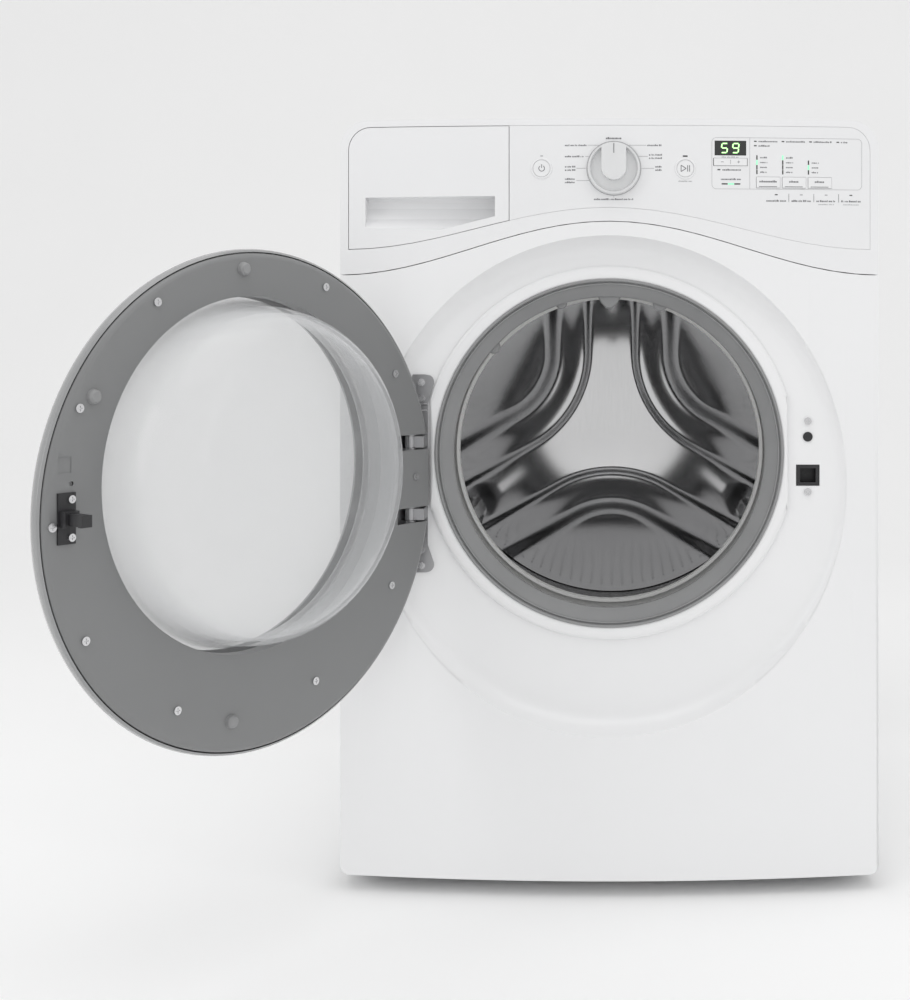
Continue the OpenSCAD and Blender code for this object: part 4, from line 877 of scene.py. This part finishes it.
for key, levels, lit in zip(keys_at, (4, 4, 3), (2, 3, 1)):
    x = key.x - 14 * mm
    for level in range(levels):
        z = key.z + 10.5 * mm + level * level_step
        lamps = green if level == lit else dark
        lamps.bar(x - 0.8 * mm, z - 0.2 * mm, x + 0.8 * mm, z + level_step - 0.7 * mm)
        grey.caption(x + 4.2 * mm, z + 2.6 * mm, 9 * mm, 1.9 * mm, seed=level + 41)

# %% Lower marks, lamps and digits
for i in range(4):
    x = keys_at[0].x + 10.6 * mm + 32 * mm * i
    lamps = dark if i % 3 == 0 else pale
    lamps.bar(x - 1.8 * mm, panel_low - 7.3 * mm, x + 1.8 * mm, panel_low - 6.0 * mm)
    grey.caption(x, panel_low - 14.3 * mm, 25 * mm, 2.4 * mm, 0.5, seed=i + 61)
    if i < 3:
        grey.bar(x + 15.8 * mm, panel_low - 15.8 * mm, x + 16.4 * mm, panel_low - 5.4 * mm)
    if i > 1:
        pale.caption(x, panel_low - 18.6 * mm, 20 * mm, 1.3 * mm, 0.5, seed=i + 71)
low_x = window_at.x - 14.5 * mm
dark.bar(low_x - 1.8 * mm, window_at.z - 28.0 * mm, low_x + 1.8 * mm, window_at.z - 26.6 * mm)
grey.caption(low_x + 4.5 * mm, window_at.z - 27.3 * mm, 24 * mm, 2.2 * mm, seed=81)
grey.caption(low_x + 2.5 * mm, window_at.z - 39.2 * mm, 26 * mm, 2.2 * mm, seed=82)
pale.caption(window_at.x, window_at.z - 11.3 * mm, 22 * mm, 1.5 * mm, 0.5, seed=83)
for part in range(3):
    (green if part == 1 else dark).bar(window_at.x - 11 * mm + part * 8 * mm, window_at.z - 46 * mm,
                                       window_at.x - 3.4 * mm + part * 8 * mm, window_at.z - 44.4 * mm)
dark.bar(start_at.x - 3 * mm, start_at.z + 14.6 * mm, start_at.x + 3 * mm, start_at.z + 16.4 * mm)
pale.bar(power_at.x - 1.6 * mm, power_at.z + 15 * mm, power_at.x + 1.6 * mm, power_at.z + 16.4 * mm)
pale.caption(start_at.x, start_at.z - 16 * mm, 17 * mm, 1.6 * mm, 0.5, seed=91)

digits = Print(0.25 * mm)
lit_segments = {"5": "afgcd", "9": "abcdfg"}


def digit(figure, x, z, wide, tall, stroke):
    """Seven-segment figure, leaning a little."""
    half, lean, along = tall / 2, 0.09, 0.5 * stroke
    places = {"a": (0, half, 1, half), "g": (0, 0, 1, 0), "d": (0, -half, 1, -half),
              "f": (0, 0, 0, half), "b": (1, 0, 1, half), "e": (0, -half, 0, 0), "c": (1, -half, 1, 0)}
    for name in lit_segments[figure]:
        x0, z0, x1, z1 = places[name]
        if z0 == z1:
            corners = [(x0 * wide + along, z0 - along), (x1 * wide - along, z0 - along),
                       (x1 * wide - along, z0 + along), (x0 * wide + along, z0 + along)]
        else:
            corners = [(x0 * wide - along, z0 + along * 0.7), (x0 * wide + along, z0 + along * 0.7),
                       (x0 * wide + along, z1 - along * 0.7), (x0 * wide - along, z1 - along * 0.7)]
        digits.shape([(x + px + (pz * lean), z + pz) for px, pz in corners])


for place, figure in enumerate("59"):
    digit(figure, window_at.x - 11.2 * mm + place * 14.2 * mm, window_at.z, 7.4 * mm, 11.5 * mm, 1.5 * mm)
for target, name, finish in ((grey, "console_captions", grey_ink), (pale, "console_lines", pale_ink),
                             (dark, "console_lamps", dark_ink), (green, "console_lit_lamps", green_light)):
    target.make(name, finish)
digits.make("display_digits", digit_light, slot="display_glass")
print("console print made")

# %% [markdown]
# ## Marks on the parts that move
# The power and start signs are on their buttons and the pointer line is on the knob, so those
# marks ride with them.

# %% Marks on buttons, keys and knob
cap_lift = 0.95 * mm
power_mark = Print(cap_lift)
power_mark.ring(power_at.x, power_at.z, 4.0 * mm, 0.9 * mm, 125, 415, 40)
power_mark.bar(power_at.x - 0.45 * mm, power_at.z + 0.6 * mm, power_at.x + 0.45 * mm, power_at.z + 5.0 * mm)
power_mark.make("power_sign", grey_ink, "power_button", "white_plastic")
start_mark = Print(cap_lift)
x, z = start_at.x, start_at.z
for a, b in (((-5.2, -4), (1.2, 0)), ((1.2, 0), (-5.2, 4)), ((-5.2, 4), (-5.2, -4))):
    dx, dz = b[0] - a[0], b[1] - a[1]
    size = math.hypot(dx, dz)
    nx, nz = -dz / size * 0.45, dx / size * 0.45
    start_mark.shape([(x + (px + nx * s) * mm, z + (pz + nz * s) * mm)
                      for (px, pz), s in ((a, -1), (b, -1), (b, 1), (a, 1))])
for offset in (2.6, 5.0):
    start_mark.bar(x + offset * mm, z - 4 * mm, x + (offset + 0.9) * mm, z + 4 * mm)
start_mark.make("start_sign", grey_ink, "start_button", "white_plastic")
for key, body in zip(keys_at, ("temp_button", "spin_button", "soil_button")):
    mark = Print(cap_lift)
    length = (22 if body == "temp_button" else 12) * mm
    mark.caption(key.x, key.z + 1.2 * mm, length, 2.6 * mm, 0.5, seed=17)
    mark.bar(key.x - 11.5 * mm, key.z - key_half + 1.0 * mm, key.x + 11.5 * mm, key.z - key_half + 1.8 * mm)
    mark.make(body + "_mark", grey_ink, body, "white_plastic")
rocker_mark = Print(1.05 * mm)
# minus, plus, and the line between them, as from x0 to x1 and half height
for x0, x1, half in ((-12, -8.6, 0.3), (8.6, 12, 0.3), (10, 10.6, 1.7), (-0.2, 0.2, 2.6)):
    rocker_mark.bar(rocker_at.x + x0 * mm, rocker_at.z - half * mm,
                    rocker_at.x + x1 * mm, rocker_at.z + half * mm)
rocker_mark.make("rocker_marks", grey_ink, "time_rocker", "white_plastic")
knob_face = bow_at(knob_at.x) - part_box("knob")[0].y
knob_mark = Print(knob_face + 0.15 * mm)
knob_mark.bar(knob_at.x - 0.5 * mm, knob_at.z + knob_radius * 0.52, knob_at.x + 0.5 * mm,
              knob_at.z + knob_radius * 0.88)
knob_mark.make("knob_pointer", grey_ink, "knob", "knob_plastic")

# %% [markdown]
# ## Floor, light and camera
# A plain pale floor and big soft lights, as in a product studio: white enamel is read only
# from slow changes of light across it, so the lamps are large and even.

# %% Floor
floor_finish = Finish("studio_floor")
floor_cloud = floor_finish.noise(2.0, 2.0)
floor_finish.set(Base_Color=floor_finish.tones(floor_cloud, (0.96, 0.96, 0.96), (0.98, 0.98, 0.98)),
                 Roughness=0.7 + floor_cloud * 0.1)
sweep = [(-7.0, 0.0)] + [(2.5 + 2.5 * math.sin(math.radians(a)), 2.5 - 2.5 * math.cos(math.radians(a)))
                         for a in range(0, 91, 5)] + [(5.0, 9.0)]
floor_mesh = bpy.data.meshes.new("studio_floor")
floor_mesh.from_pydata([(x, y, z) for y, z in sweep for x in (-9, 9)], [],
                       [(2 * i, 2 * i + 1, 2 * i + 3, 2 * i + 2) for i in range(len(sweep) - 1)])
floor_mesh.shade_smooth()
floor_mesh.materials.append(floor_finish.material)
floor = bpy.data.objects.new("studio_floor", floor_mesh)
bpy.context.scene.collection.objects.link(floor)

# %% World, lamps and camera
scene = bpy.context.scene
scene.view_settings.view_transform = "Standard"
world = bpy.data.worlds.new("studio")
scene.world = world
world.use_nodes = True
sky = world.node_tree.nodes["Background"]
sky.inputs[0].default_value = (1.0, 1.0, 1.0, 1)
sky.inputs[1].default_value = 0.79


def lamp(name, place, target, width, height, power):
    """Soft box at a place, turned towards a target."""
    light = bpy.data.lights.new(name, "AREA")
    light.shape, light.size, light.size_y, light.energy = "RECTANGLE", width, height, power
    made = bpy.data.objects.new(name, light)
    made.location = place
    made.rotation_euler = (Vector(target) - Vector(place)).to_track_quat("-Z", "Y").to_euler()
    scene.collection.objects.link(made)
    return made


lamp("overhead_softbox", (0.0, -1.0, 3.2), (0, -0.1, 0.5), 3.0, 2.4, 22)
lamp("left_softbox", (-2.9, -2.2, 1.6), (0, 0, 0.5), 0.8, 2.2, 12)
lamp("right_softbox", (2.9, -2.0, 1.5), (0, 0, 0.5), 0.7, 2.2, 6)

lens = bpy.data.cameras.new("camera")
lens.sensor_width, lens.lens = 36, 56.5
lens.shift_x, lens.shift_y = -0.166, -0.1743
lens.clip_start = 0.05
camera = bpy.data.objects.new("camera", lens)
camera.location = (0.015, front_y - 2.0, 0.720)
camera.rotation_euler = (math.radians(90), 0, 0)
scene.collection.objects.link(camera)
scene.camera = camera
